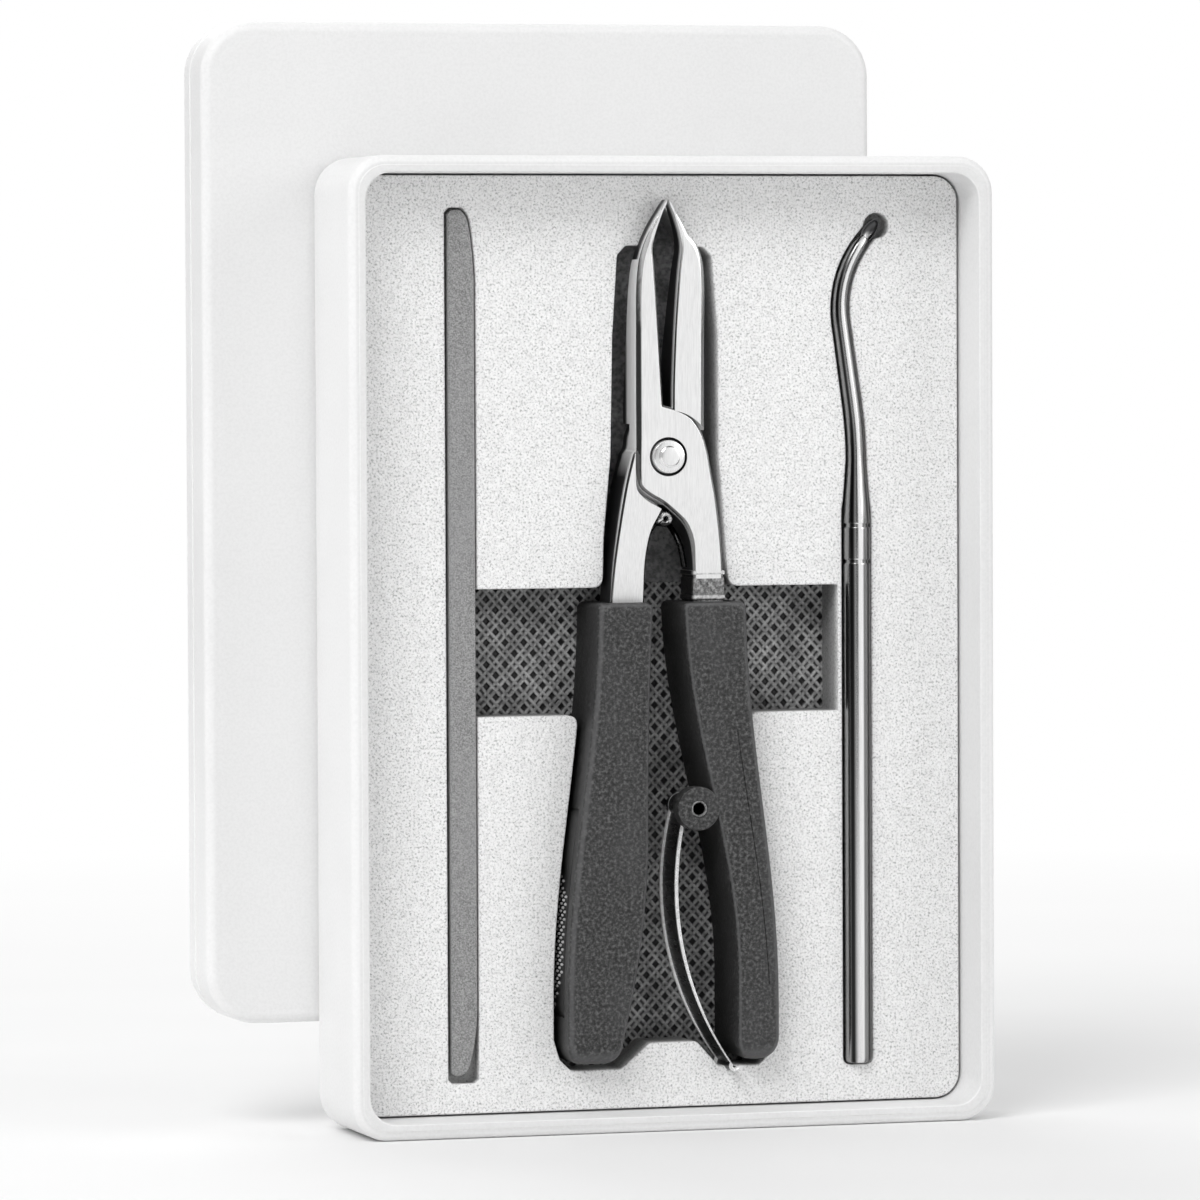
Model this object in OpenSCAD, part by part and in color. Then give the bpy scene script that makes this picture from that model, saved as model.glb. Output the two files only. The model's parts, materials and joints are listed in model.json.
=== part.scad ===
// Manicure set in a two-part case: tray with foam insert, nipper, nail file, ear spoon, lid.
// Millimetres, +Z up, -Y is the open front of the tray, origin under the middle of the tray.

/* [Case] */
// Wall of the base tray on its four sides
case_wall = 2.5; // [1.5:0.1:3.5]
// Back wall of the base tray
case_back = 2; // [1.5:0.1:3]
// Outer corner radius of the base tray, seen from the front
case_r = 5.5; // [4:0.5:8]
// Rounding of the tray's back edge and of the lid's face edge
edge_r = 1.6; // [0.8:0.1:2]
// Room between the front of the nipper's handles and the tray's front rim
rim_clear = 3.5; // [1:0.25:6]
// Foam between the nipper's tip and the tray's top wall
top_land = 3.9; // [3:0.1:12]
// Foam between the nipper's handles and the tray's bottom wall
bottom_land = 7.4; // [5:0.1:14]
// Foam from the middle of the file or the spoon to the side wall
side_land = 16.5; // [8:0.5:24]

/* [Lid] */
// Wall and face of the lid
lid_wall = 1.8; // [1.2:0.1:2.6]
// Gap all round between the closed lid and the tray
lid_clear = 0.4; // [0.2:0.05:0.8]
// Depth of the lid, face to open edge
lid_d = 12; // [8:0.5:16]
// How far left of the tray's middle the lid stands
lid_left = 14.4; // [0:0.2:30]
// How far above the tray's middle the lid stands
lid_rise = 18.1; // [0:0.1:40]
// Gap between the lid's face and the tray's back
lid_gap = 0.3; // [0.2:0.05:2]

/* [Insert] */
// Thickness of the foam insert
foam_t = 7.8; // [6:0.1:10]
// Thickness of the patterned sheet under the foam
sheet_t = 0.8; // [0.5:0.1:1.5]
// Thickness of the backing pad under the sheet
pad_t = 2.4; // [1:0.1:4]
// Gap between the insert and the tray's side walls
insert_clear = 0.1; // [0.05:0.05:0.4]
// Gap between a tool and what it lies on
seat_gap = 0.3; // [0.1:0.05:0.6]
// Height of the finger notch that crosses the insert
notch_h = 19; // [14:0.5:26]
// Middle of the finger notch below the nipper's pivot
notch_drop = 29; // [26:0.5:34]
// Room in the foam round the nipper's jaws and shanks
jaw_room = 2.2; // [1:0.1:3]
// Room in the foam round the nipper's handles
handle_room = 0.8; // [0.7:0.05:1.5]
// Height of the foam tongue between the handle ends
tongue_h = 3.4; // [1:0.1:6]

/* [Nipper] */
// Sideways place of the nipper's middle line
nip_x = 0.5; // [-3:0.1:3]
// Pivot to jaw tip
jaw_len = 38.3; // [34:0.1:40]
// Width of the right jaw, from the middle line
jaw_right_w = 5.7; // [5.2:0.1:6.2]
// Width of the left jaw, from the middle line
jaw_left_w = 4.9; // [4.6:0.1:6.2]
// Half width of the hollow between the jaws, at its widest
hollow_half_w = 2.2; // [1.2:0.1:2.8]
// Half width of the hollow between the jaws, at the pivot end
hollow_root_w = 0.75; // [0.4:0.05:1.2]
// Length of the two cutting edges, measured down from the tip
edge_len = 6; // [4:0.25:8]
// Gap left between the two closed tips
tip_gap = 0.2; // [0.1:0.05:0.4]
// Thickness of the two levers together at the pivot
metal_t = 8; // [7:0.1:9]
// Thickness of the jaws at the tip
tip_t = 3; // [2:0.1:3.6]
// How far the jaw tips curve to the front
beak_lead = 0.4; // [0:0.1:1]
// Radius of the half-thickness discs of the lap joint
lap_r = 6.8; // [6.5:0.05:7]
// Gap between the levers in the lap joint
lap_gap = 0.12; // [0.08:0.01:0.2]
// Radius of the rivet's shank
rivet_r = 1.6; // [1.2:0.05:2.2]
// Radius of the rivet's heads
rivet_head_r = 2.7; // [2.4:0.05:3.2]
// Height of the rivet's heads
rivet_head_h = 0.7; // [0.5:0.05:1]
// Running gap round the rivet and the latch pin
pin_clear = 0.04; // [0.02:0.01:0.08]
// Width of a shank where it enters its handle
shank_w = 3.9; // [3:0.1:4.5]
// Outer side of a shank from the middle line, at its handle
shank_out = 8.1; // [7.7:0.1:8.5]
// Thickness of the shanks
shank_t = 6; // [5:0.1:6.8]
// Length of the tang inside each handle
tang_len = 20; // [12:0.5:20.5]
// Width of the tang
tang_w = 3; // [2:0.1:3.2]
// Thickness of the tang
tang_t = 4; // [3:0.1:4.4]
// Height of the shoulder block on the front lever's shank
shoulder_h = 4.6; // [2:0.1:6]
// How far the shoulder block stands out of the shank all round
shoulder_out = 0.35; // [0.2:0.05:0.5]

/* [Handles] */
// Pivot to the top of the handles
handle_top = 21.7; // [21:0.1:24]
// Length of the handles
handle_len = 68.7; // [64:0.1:72]
// Thickness of the handles
handle_t = 13; // [12:0.1:14.5]
// Corner radius of the handles' section
handle_r = 2; // [1.4:0.1:2.2]
// Outer side from the middle line, at the top
out_top = 11.6; // [11:0.1:12.4]
// Outer side from the middle line, at the lower half
out_low = 16.5; // [15.8:0.1:17.4]
// Inner side from the middle line, along the upper half
in_top = 3.9; // [3.5:0.1:4.3]
// How much further out the inner side lies at the handle end
in_sweep = 5; // [4:0.1:6]
// How far the right handle's back web reaches inwards beyond its front
web_in = 1.4; // [1:0.1:1.8]
// Thickness of that back web
web_t = 2.5; // [1.8:0.1:3]
// Depth of the hollow under each grip pad
grip_t = 1.4; // [1:0.1:2]
// Width of the grip pads, front to back
grip_w = 7; // [4:0.1:8]
// Length of the grip pads
grip_len = 31; // [20:0.5:34]
// Gap between the handles' lower end and the grip pads
grip_up = 7; // [6:0.25:10]
// Gap round the grip pads in their hollows
grip_clear = 0.05; // [0.02:0.01:0.15]

/* [Latch and spring] */
// Latch pin below the pivot
boss_drop = 52.5; // [48:0.1:56]
// Latch pin right of the middle line
boss_x = 3.8; // [3.4:0.1:4.2]
// Radius of the boss that carries the latch pin
boss_r = 3.3; // [2.8:0.1:3.8]
// Thickness of the boss
boss_t = 2.9; // [2:0.1:3.2]
// Outer radius of the tubular latch pin
pin_r = 1.3; // [1:0.05:1.5]
// Bore radius of the tubular latch pin
pin_bore_r = 0.9; // [0.5:0.05:0.95]
// Thickness of the latch strip
strip_t = 0.6; // [0.4:0.05:0.7]
// Width of the latch strip
strip_w = 6.8; // [5:0.1:7]
// How far the latch strip reaches past the handles' lower end
latch_out = 0.9; // [0.3:0.1:1.2]
// How far right of the bow's middle the latch strip ends
bow_end = 8.6; // [7.6:0.1:8.8]
// Wire radius of the return spring
wire_r = 0.28; // [0.2:0.02:0.3]
// Middle radius of the return spring's coil
coil_r = 0.95; // [0.8:0.05:1]
// Pitch of the return spring's coil
coil_pitch = 1.1; // [1:0.02:1.2]
// Whole turns in the return spring's coil, half a turn more joins its legs
coil_turns = 4; // [2:1:4]
// Middle of the return spring's coil below the pivot
coil_drop = 9.7; // [9.4:0.1:10]

/* [File and ear spoon] */
// Distance of the file and of the spoon from the case's middle
tool_pitch = 31; // [28:0.5:38]
// Length of the nail file
file_len = 129.4; // [100:0.2:131]
// Width of the nail file
file_w = 4.6; // [3.5:0.1:7]
// Thickness of the nail file
file_t = 1.4; // [0.8:0.1:2]
// Corner radius of the nail file's ends
file_r = 1.9; // [0.5:0.1:2]
// How far the file stands out of the foam
file_proud = 0.5; // [0:0.05:1]
// Foam between the file's or the spoon's lower end and the tray's bottom wall
tool_land = 6; // [4:0.25:10]
// Least foam between the upper end of the file or the spoon and the tray's top wall
tool_top_land = 3; // [2:0.25:6]
// Radius of the spoon's handle
spoon_r = 2.1; // [1.6:0.05:2.6]
// Length of the spoon's handle, to the collar
spoon_handle_len = 75.5; // [60:0.5:76]
// Length of the spoon's collar
collar_len = 5.9; // [4:0.1:6]
// Straight length of the spoon's tip above the collar
tip_straight = 9.6; // [6:0.1:10]
// Radius of the spoon's bent neck
neck_r = 1.4; // [1:0.05:1.6]
// Radius of the first bend of the neck
bend_one_r = 60; // [50:1:62]
// Radius of the second bend of the neck
bend_two_r = 16; // [12:0.5:17]
// Radius of the spoon's bowl
bowl_r = 1.7; // [1.4:0.05:2]
// Wall of the spoon's bowl
bowl_wall = 0.45; // [0.3:0.05:0.6]
// Depth of the two ring grooves
groove_depth = 0.25; // [0.1:0.05:0.4]
// How deep the spoon's middle line lies in the foam
spoon_sink = 0.3; // [0:0.05:1]
// Room in the foam beside the file and the spoon
groove_room = 0.3; // [0.2:0.05:0.6]

/* [Hidden] */
$fn = 64;
// Facets of the round corners that hulls join
hull_fn = 32;
// A cut runs this far past the face that it opens
past = 1;

// Tray and insert, front to back
foam_recess = handle_t + seat_gap - foam_t + rim_clear;
case_d = foam_recess + foam_t + sheet_t + pad_t + case_back;
front_y = -case_d / 2;
back_y = case_d / 2;
foam_y = front_y + foam_recess;
sheet_y = foam_y + foam_t;
pad_y = sheet_y + sheet_t;

// Nipper places
pivot_z = case_wall + bottom_land + handle_top + handle_len;
nip_y = sheet_y - seat_gap - handle_t / 2;
handle_back = nip_y + handle_t / 2;
handle_end = handle_top + handle_len;

// File and spoon places
tool_z = case_wall + tool_land;
file_y = foam_y - file_proud;
spoon_y = foam_y + spoon_sink;
file_slot_x = -tool_pitch + file_w / 2 + groove_room;
spoon_slot_x = tool_pitch - spoon_r - groove_room;

// Neck of the spoon: up, leaning left through one bend, then right through the other
lean = 8;
bow_out = 45;
lean_len = 12.4;
bend_z = tool_z + spoon_handle_len + collar_len + tip_straight;
lean_x = tool_pitch - bend_one_r * (1 - cos(lean));
lean_z = bend_z + bend_one_r * sin(lean);
turn_x = lean_x - lean_len * sin(lean);
turn_z = lean_z + lean_len * cos(lean);
turn_cx = turn_x + bend_two_r * cos(lean);
turn_cz = turn_z + bend_two_r * sin(lean);
neck_end_x = turn_cx - bend_two_r * cos(bow_out);
neck_end_z = turn_cz + bend_two_r * sin(bow_out);
bowl_off = bowl_r - bowl_wall / 2;
bowl_x = neck_end_x + bowl_off * sin(bow_out);
bowl_z = neck_end_z + bowl_off * cos(bow_out);

// Tray outside: the tool that reaches highest sets its height
tool_top = max(tool_z + file_len, bowl_z + bowl_r) + tool_top_land;
case_w = 2 * (tool_pitch + side_land + case_wall);
case_h = max(pivot_z + jaw_len + top_land, tool_top) + case_wall;

// Lid outside
lid_w = case_w + 2 * (lid_wall + lid_clear);
lid_h = case_h + 2 * (lid_wall + lid_clear);
lid_r = case_r + lid_wall + lid_clear;
lid_y = back_y + lid_gap;
lid_z = case_h / 2 + lid_rise;

// Outer and inner side of a handle at a depth d below the pivot
sweep_from = 55.5;
in_bulge = 0.9;
out_full = 60;
function outer_x(d) =
    let (t = min(1, max(0, (d - handle_top) / out_full)))
    out_top + (out_low - out_top) * (1 - cos(180 * t)) / 2;
function inner_x(d) =
    let (u = (d - sweep_from) / (handle_end - sweep_from))
    u > 0 ? in_top + in_sweep * u * u : in_top - in_bulge * u * u;

// Rounded lower end of a handle: the two sides draw in over this length
end_draw = 3.4;
end_in = 2.2;
end_out = 1.8;

// Sections of a handle: depth below the pivot and how far each side draws in
handle_steps = 5;
body_end = handle_end - end_draw;
handle_sections = [
    for (i = [0 : handle_steps])
        let (d = handle_top + (body_end - handle_top) * i / handle_steps)
        [d, inner_x(d), outer_x(d)],
    [handle_end - 1, inner_x(body_end) + end_in / 2, outer_x(body_end) - end_out / 2],
    [handle_end, inner_x(body_end) + end_in, outer_x(body_end) - end_out]
];

// Inner edge of the right handle's front, beside the latch
front_edge_top = 24;
front_edge_low = 78;
front_edge_shift = 7.4;
function front_edge_x(d) =
    let (t = min(1, max(0, (d - front_edge_top) / (front_edge_low - front_edge_top))))
    inner_x(min(d, sweep_from)) - web_in + front_edge_shift * (1 - cos(180 * t)) / 2;
pocket_y = handle_back - web_t;
boss_z = -boss_drop;

// Latch strip: its eye stands round the pin and its bow is one arc
eye_in = pin_r + pin_clear;
eye_out = eye_in + strip_t;
bow_share = 0.317;
bow_lead = 1.3;
bow_z = -boss_drop - bow_share * (handle_end - boss_drop);
bow_low = handle_end + latch_out;
bow_r = ((bow_low + bow_z) * (bow_low + bow_z) + bow_end * bow_end) / (2 * bow_end);
bow_x = boss_x - eye_out + strip_t / 2 + bow_r - bow_lead;
strip_front = nip_y - strip_w / 2;
strip_back = nip_y + strip_w / 2;
bow_from = asin((boss_z - bow_z) / bow_r);
bow_to = asin((bow_low + bow_z) / bow_r);

// Jaw outline of one side, from the tip down to inside the lap disc
jaw_shoulder = 6.4;
jaw_cheek = 8.7;
jaw_full = 12;
hollow_root = lap_r + 1.4;
function jaw_side(w) = [
    [tip_gap / 2, jaw_len],
    [w * 0.75, jaw_len - jaw_shoulder],
    [w * 0.93, jaw_len - jaw_cheek],
    [w, jaw_len - jaw_full],
    [w, lap_r * 0.45],
    [hollow_root_w, lap_r * 0.7],
    [hollow_root_w, hollow_root],
    [hollow_half_w, jaw_len - edge_len]
];

// Shank outline of one side, from inside the lap disc down to the handle
crotch_w = 0.5;
shank_in = shank_out - shank_w;
tang_x = shank_out - shank_w / 2;
shank_side = [
    [lap_r * 0.9, 0],
    [lap_r * 0.99, -3],
    [shank_out - 0.6, -9],
    [shank_out, -16],
    [shank_out, -handle_top],
    [shank_in, -handle_top],
    [shank_in - 0.1, -15.5],
    [shank_in - 1, -11.2],
    [crotch_w + 0.8, -8.6],
    [crotch_w, -lap_r],
    [crotch_w, 0]
];

// Side outline of a lever: [y from the middle plane, z from the pivot], front then back
beak_back = foam_y - seat_gap - nip_y;
foam_top = jaw_len - 8.6;
lever_side = [
    [-metal_t / 2, -10],
    [-metal_t / 2, jaw_len / 2],
    [-metal_t / 2 - beak_lead, jaw_len],
    [-metal_t / 2 - beak_lead + tip_t, jaw_len],
    [min(beak_back, -metal_t / 2 - beak_lead + tip_t), foam_top],
    [metal_t / 2, lap_r + 1],
    [metal_t / 2, -10],
    [shank_t / 2, -12],
    [shank_t / 2, -handle_top],
    [-shank_t / 2, -handle_top],
    [-shank_t / 2, -12]
];

// Half width of the cut-out at a height z from the pivot, beside the metal
cut_top_z = foam_top + seat_gap;
neck_cut = [
    [shank_out + jaw_room, -handle_top + 1],
    [shank_out + jaw_room - 0.6, -12],
    [jaw_right_w + jaw_room + 0.7, 0],
    [jaw_right_w + jaw_room + 0.4, 18],
    [jaw_right_w + jaw_room - 0.4, cut_top_z - 1.4],
    [jaw_right_w + jaw_room - 1.8, cut_top_z]
];
tongue_top_w = 3;
tongue_foot_w = 7;

// Extrudes a drawing in X and Z from y0 back to y1
module slab(y0, y1) {
    translate([0, y1, 0]) rotate([90, 0, 0]) linear_extrude(y1 - y0) children();
}

// Rectangle with round corners about the origin
module round_rect(w, h, r) {
    square([w - 2 * r, h], center = true);
    square([w, h - 2 * r], center = true);
    for (sx = [-1, 1], sy = [-1, 1])
        translate([sx * (w / 2 - r), sy * (h / 2 - r)]) circle(r);
}

// Plate from y = 0 to y = d with round corners r and its edge at y = d rounded by e
module round_plate(w, h, r, e, d) {
    edge_steps = 4;
    hull() for (i = [0 : edge_steps])
        let (a = 90 * i / edge_steps, draw = e * (1 - cos(a)))
        slab(0, d - e + e * sin(a))
            round_rect(w - 2 * draw, h - 2 * draw, r - draw, $fn = hull_fn);
}

module base_tray() {
    color("whitesmoke") difference() {
        translate([0, front_y, case_h / 2]) round_plate(case_w, case_h, case_r, edge_r, case_d);
        translate([0, 0, case_h / 2]) slab(front_y - past, back_y - case_back)
            round_rect(case_w - 2 * case_wall, case_h - 2 * case_wall, case_r - case_wall);
    }
}

// One layer of the insert, cut to the inside of the tray
module insert_layer(y0, y1) {
    gap = case_wall + insert_clear;
    translate([0, 0, case_h / 2]) slab(y0, y1)
        round_rect(case_w - 2 * gap, case_h - 2 * gap, case_r - gap);
}

module backing_pad() {
    color("lightgrey") insert_layer(pad_y, back_y - case_back);
}

module lattice_sheet() {
    color("dimgrey") insert_layer(sheet_y, pad_y);
}

// Outline of the cut-out beside one handle, on the right of the middle line
module handle_cut() {
    cut_from = handle_top - 1;
    cut_steps = 12;
    cut_low = handle_end + latch_out + seat_gap;
    polygon([
        [0, -cut_from],
        for (i = [0 : cut_steps])
            let (d = cut_from + (body_end - cut_from) * i / cut_steps)
            [outer_x(d) + handle_room, -d],
        [out_low + handle_room - end_out / 2, -handle_end + 0.4],
        [out_low - end_out, -cut_low],
        [tongue_foot_w, -cut_low],
        [tongue_foot_w, -cut_low + 0.6],
        [tongue_top_w, -cut_low + tongue_h],
        [0, -cut_low + tongue_h]
    ]);
}

module nipper_cut() {
    for (s = [0, 1]) mirror([s, 0]) {
        polygon(concat([[0, -handle_top]], neck_cut, [[0, cut_top_z]]));
        handle_cut();
    }
}

// Groove of the spoon: straight, then along both bends of the neck
module spoon_cut() {
    half = spoon_r + groove_room;
    fine = neck_r + groove_room;
    bend_steps = 8;
    path = concat(
        [for (i = [0 : bend_steps]) let (a = lean * i / bend_steps)
            [tool_pitch - bend_one_r * (1 - cos(a)), bend_z + bend_one_r * sin(a), -a]],
        [for (i = [0 : bend_steps]) let (a = -lean + (bow_out + lean) * i / bend_steps)
            [turn_cx - bend_two_r * cos(a), turn_cz + bend_two_r * sin(a), a]]
    );
    translate([tool_pitch - half, tool_z - groove_room])
        square([2 * half, bend_z - tool_z + groove_room]);
    polygon(concat(
        [for (p = path) [p[0] - fine * cos(p[2]), p[1] + fine * sin(p[2])]],
        [for (i = [len(path) - 1 : -1 : 0]) let (p = path[i])
            [p[0] + fine * cos(p[2]), p[1] - fine * sin(p[2])]]
    ));
    translate([bowl_x, bowl_z]) circle(bowl_r + groove_room);
}

module foam_insert() {
    notch_z = pivot_z - notch_drop;
    color("gainsboro") difference() {
        insert_layer(foam_y, sheet_y);
        translate([nip_x, 0, pivot_z]) slab(foam_y - past, sheet_y + past) nipper_cut();
        slab(foam_y - past, sheet_y + past)
            translate([file_slot_x, notch_z - notch_h / 2])
                square([spoon_slot_x - file_slot_x, notch_h]);
        slab(foam_y - past, file_y + file_t + seat_gap)
            translate([-tool_pitch, tool_z + file_len / 2])
                square([file_w + 2 * groove_room, file_len + 2 * groove_room], center = true);
        slab(foam_y - past, spoon_y + spoon_r + seat_gap) spoon_cut();
    }
}

module lid() {
    color("white") translate([-lid_left, lid_y, lid_z]) difference() {
        translate([0, lid_d, 0]) mirror([0, 1, 0])
            round_plate(lid_w, lid_h, lid_r, edge_r, lid_d);
        slab(lid_wall, lid_d + past)
            round_rect(lid_w - 2 * lid_wall, lid_h - 2 * lid_wall, lid_r - lid_wall);
    }
}

// Domed head of the rivet, its flat side at y = 0 and its crown at y = -rivet_head_h
module rivet_head() {
    crown = (rivet_head_r * rivet_head_r + rivet_head_h * rivet_head_h) / (2 * rivet_head_h);
    rotate([90, 0, 0]) intersection() {
        translate([0, 0, rivet_head_h - crown]) sphere(crown, $fn = 128);
        cylinder(r = rivet_head_r, h = rivet_head_h);
    }
}

module pivot_rivet() {
    color("silver") translate([nip_x, nip_y, pivot_z]) {
        translate([0, -metal_t / 2 - lap_gap, 0]) rivet_head();
        slab(-metal_t / 2 - lap_gap, metal_t / 2 + lap_gap + rivet_head_h) circle(rivet_r);
    }
}

module rivet_collar() {
    color("silver") translate([nip_x, nip_y + metal_t / 2 + lap_gap, pivot_z])
        slab(0, rivet_head_h) difference() {
            circle(rivet_head_r);
            circle(rivet_r);
        }
}

// One lever with its jaw on the left and its shank on the right, about the pivot
module lever_blank(jaw_w, with_shoulder) {
    intersection() {
        slab(-metal_t, metal_t) {
            mirror([1, 0]) polygon(jaw_side(jaw_w));
            intersection() {
                circle(lap_r);
                translate([-jaw_w, -lap_r]) square(2 * lap_r);
            }
            polygon(shank_side);
        }
        translate([lap_r * 2, 0, 0]) rotate([0, -90, 0]) linear_extrude(lap_r * 4)
            polygon([for (p = lever_side) [p[1], p[0]]]);
    }
    slab(-tang_t / 2, tang_t / 2)
        translate([tang_x - tang_w / 2, -handle_top - tang_len]) square([tang_w, tang_len + past]);
    if (with_shoulder)
        slab(-shank_t / 2 - shoulder_out, shank_t / 2 + shoulder_out)
            translate([shank_in - shoulder_out, -handle_top])
                square([shank_w + 2 * shoulder_out, shoulder_h]);
}

// The half-round seat for the other lever, and the rivet's bore
module lap_cut(y0, y1) {
    slab(y0, y1) circle(lap_r + lap_gap);
    slab(-metal_t, metal_t) circle(rivet_r + pin_clear);
}

module front_lever() {
    color("silver") translate([nip_x, nip_y, pivot_z]) difference() {
        lever_blank(jaw_left_w, true);
        lap_cut(-lap_gap / 2, metal_t);
    }
}

module rear_lever() {
    color("silver") translate([nip_x, nip_y, pivot_z]) difference() {
        mirror([1, 0, 0]) lever_blank(jaw_right_w, false);
        lap_cut(-metal_t, lap_gap / 2);
    }
}

// Section of a handle at depth d below the pivot, from x0 to x1
module handle_section(d, x0, x1) {
    r = min(handle_r, (x1 - x0) / 2);
    for (x = [x0 + r, x1 - r], s = [-1, 1])
        translate([x, s * (handle_t / 2 - r), -d]) cylinder(r = r, h = 0.01, $fn = hull_fn);
}

// Handle on the right of the middle line: lofted body with its tang hole and grip hollow
module handle_blank(reach_in) {
    difference() {
        for (i = [1 : len(handle_sections) - 1]) hull() {
            for (s = [handle_sections[i - 1], handle_sections[i]])
                handle_section(s[0], s[1] - reach_in, s[2]);
        }
        slab(-tang_t / 2, tang_t / 2)
            translate([tang_x - tang_w / 2, -handle_top - tang_len])
                square([tang_w, tang_len + past]);
        slab(-grip_w / 2 - grip_clear, grip_w / 2 + grip_clear)
            grip_outline(grip_t, past, grip_clear);
    }
}

// Outline of a grip pad along the handle's outer side
module grip_outline(inset, proud, gap) {
    low = handle_end - grip_up + gap;
    top = handle_end - grip_up - grip_len - gap;
    pad_steps = 10;
    depths = [for (i = [0 : pad_steps]) top + (low - top) * i / pad_steps];
    polygon(concat(
        [for (d = depths) [outer_x(d) + proud, -d]],
        [for (i = [pad_steps : -1 : 0]) [outer_x(depths[i]) - inset, -depths[i]]]
    ));
}

module grip_pad() {
    grip_proud = 0.3;
    slab(-grip_w / 2, grip_w / 2) grip_outline(grip_t - grip_clear, grip_proud, 0);
}

module left_handle() {
    color([0.16, 0.16, 0.17]) translate([nip_x, nip_y, pivot_z])
        mirror([1, 0, 0]) handle_blank(0);
}

// Pocket that leaves only the back web beside the latch
module latch_pocket() {
    pocket_steps = 10;
    pocket_from = 25;
    polygon(concat(
        [[-shank_out, -pocket_from]],
        [for (i = [0 : pocket_steps])
            let (d = pocket_from + (handle_end + past - pocket_from) * i / pocket_steps)
            [front_edge_x(d), -d]],
        [[-shank_out, -handle_end - past]]
    ));
}

module right_handle() {
    color([0.16, 0.16, 0.17]) translate([nip_x, nip_y, pivot_z]) difference() {
        union() {
            difference() {
                handle_blank(web_in);
                slab(-handle_t / 2 - past, pocket_y - nip_y) latch_pocket();
            }
            slab(-handle_t / 2, -handle_t / 2 + boss_t) translate([boss_x, boss_z]) circle(boss_r);
        }
        slab(-handle_t, handle_t) translate([boss_x, boss_z]) circle(pin_r);
    }
}

module right_grip_pad() {
    color([0.1, 0.1, 0.1]) translate([nip_x, nip_y, pivot_z]) grip_pad();
}

module left_grip_pad() {
    color([0.1, 0.1, 0.1]) translate([nip_x, nip_y, pivot_z]) mirror([1, 0, 0]) grip_pad();
}

module latch_pin() {
    color("lightsteelblue") translate([nip_x + boss_x, nip_y, pivot_z + boss_z])
        slab(-handle_t / 2, handle_t / 2) difference() {
            circle(pin_r);
            circle(pin_bore_r);
        }
}

// Bowed strip that swings on its eye and hooks the other handle's end
module lock_latch() {
    bow_steps = 24;
    arc = [for (i = [0 : bow_steps]) bow_from - (bow_from + bow_to) * i / bow_steps];
    color("silver") translate([nip_x, 0, pivot_z]) slab(strip_front, strip_back) difference() {
        union() {
            polygon(concat(
                [for (a = arc) [bow_x - bow_r * cos(a), bow_z + bow_r * sin(a)]],
                [for (i = [bow_steps : -1 : 0]) let (a = arc[i], r = bow_r - strip_t)
                    [bow_x - r * cos(a), bow_z + r * sin(a)]]
            ));
            translate([boss_x, boss_z]) circle(eye_out);
        }
        translate([boss_x, boss_z]) circle(eye_in);
    }
}

// Return spring: a coil in the crotch and a leg down each shank, one unbroken wire
coil_len = (coil_turns + 0.5) * coil_pitch;
rings_per_turn = 8;
coil_rings = (coil_turns + 0.5) * rings_per_turn;
leg_gap = wire_r + 0.3;
leg_end = handle_top - shoulder_h - 0.5;
function coil_point(i) =
    let (a = 180 - 360 * i / rings_per_turn)
    [coil_r * cos(a), -coil_len / 2 + coil_pitch * i / rings_per_turn, -coil_drop + coil_r * sin(a)];
coil_points = [for (i = [0 : coil_rings]) coil_point(i)];
left_leg = [
    [-shank_in + leg_gap + 0.3, -coil_len / 2, -leg_end],
    [-shank_in + leg_gap + 0.8, -coil_len / 2, -13.4],
    [-coil_r - 0.3, -coil_len / 2, -coil_drop - 1.2]
];
right_leg = [for (i = [2 : -1 : 0]) [-left_leg[i][0], coil_len / 2, left_leg[i][2]]];
wire_path = concat(left_leg, coil_points, right_leg);
coil_gaps = [for (i = [0 : len(wire_path) - 6], j = [i + 5 : len(wire_path) - 1])
    norm(wire_path[i] - wire_path[j]) - 2 * wire_r];
echo(str("return spring, least gap between turns in mm: ", min(coil_gaps)));

module return_spring() {
    color("silver") translate([nip_x, nip_y, pivot_z]) wire_tube(wire_path, wire_r);
}

// Tube of six sides along a path of points
wire_sides = 6;
function unit(v) = v / norm(v);
function heading(p, i) =
    unit(p[min(i + 1, len(p) - 1)] - p[max(i - 1, 0)]);
module wire_tube(p, r) {
    rings = [for (i = [0 : len(p) - 1])
        let (t = heading(p, i), a = unit(cross(t, [0.21, 0.13, 0.97])), b = cross(t, a))
        for (k = [0 : wire_sides - 1]) p[i] + r * (a * cos(360 * k / wire_sides)
            + b * sin(360 * k / wire_sides))];
    last = (len(p) - 1) * wire_sides;
    walls = [for (i = [0 : len(p) - 2], k = [0 : wire_sides - 1])
        let (a = i * wire_sides + k, b = i * wire_sides + (k + 1) % wire_sides)
        each [[a, b, b + wire_sides], [a, b + wire_sides, a + wire_sides]]];
    ends = [for (k = [1 : wire_sides - 2]) each [[0, k + 1, k], [last, last + k, last + k + 1]]];
    polyhedron(rings, concat(walls, ends));
}

module nail_file() {
    color("grey") slab(file_y, file_y + file_t)
        translate([-tool_pitch, tool_z + file_len / 2]) round_rect(file_w, file_len, file_r);
}

// Round rod along Z with its axis at the spoon's place
module spoon_rod(r, z0, z1) {
    translate([tool_pitch, spoon_y, z0]) cylinder(r = r, h = z1 - z0);
}

spigot_r = 1.2;
spigot_len = 8;
spigot_clear = 0.03;
handle_mouth = tool_z + spoon_handle_len;
collar_top = handle_mouth + collar_len;
groove_len = 0.5;
end_chamfer = 0.5;

module spoon_handle() {
    color("silver") difference() {
        union() {
            translate([tool_pitch, spoon_y, tool_z])
                cylinder(r1 = spoon_r - end_chamfer, r2 = spoon_r, h = end_chamfer);
            spoon_rod(spoon_r, tool_z + end_chamfer, handle_mouth);
        }
        spoon_rod(spigot_r + spigot_clear, handle_mouth - spigot_len, handle_mouth + past);
    }
}

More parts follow.
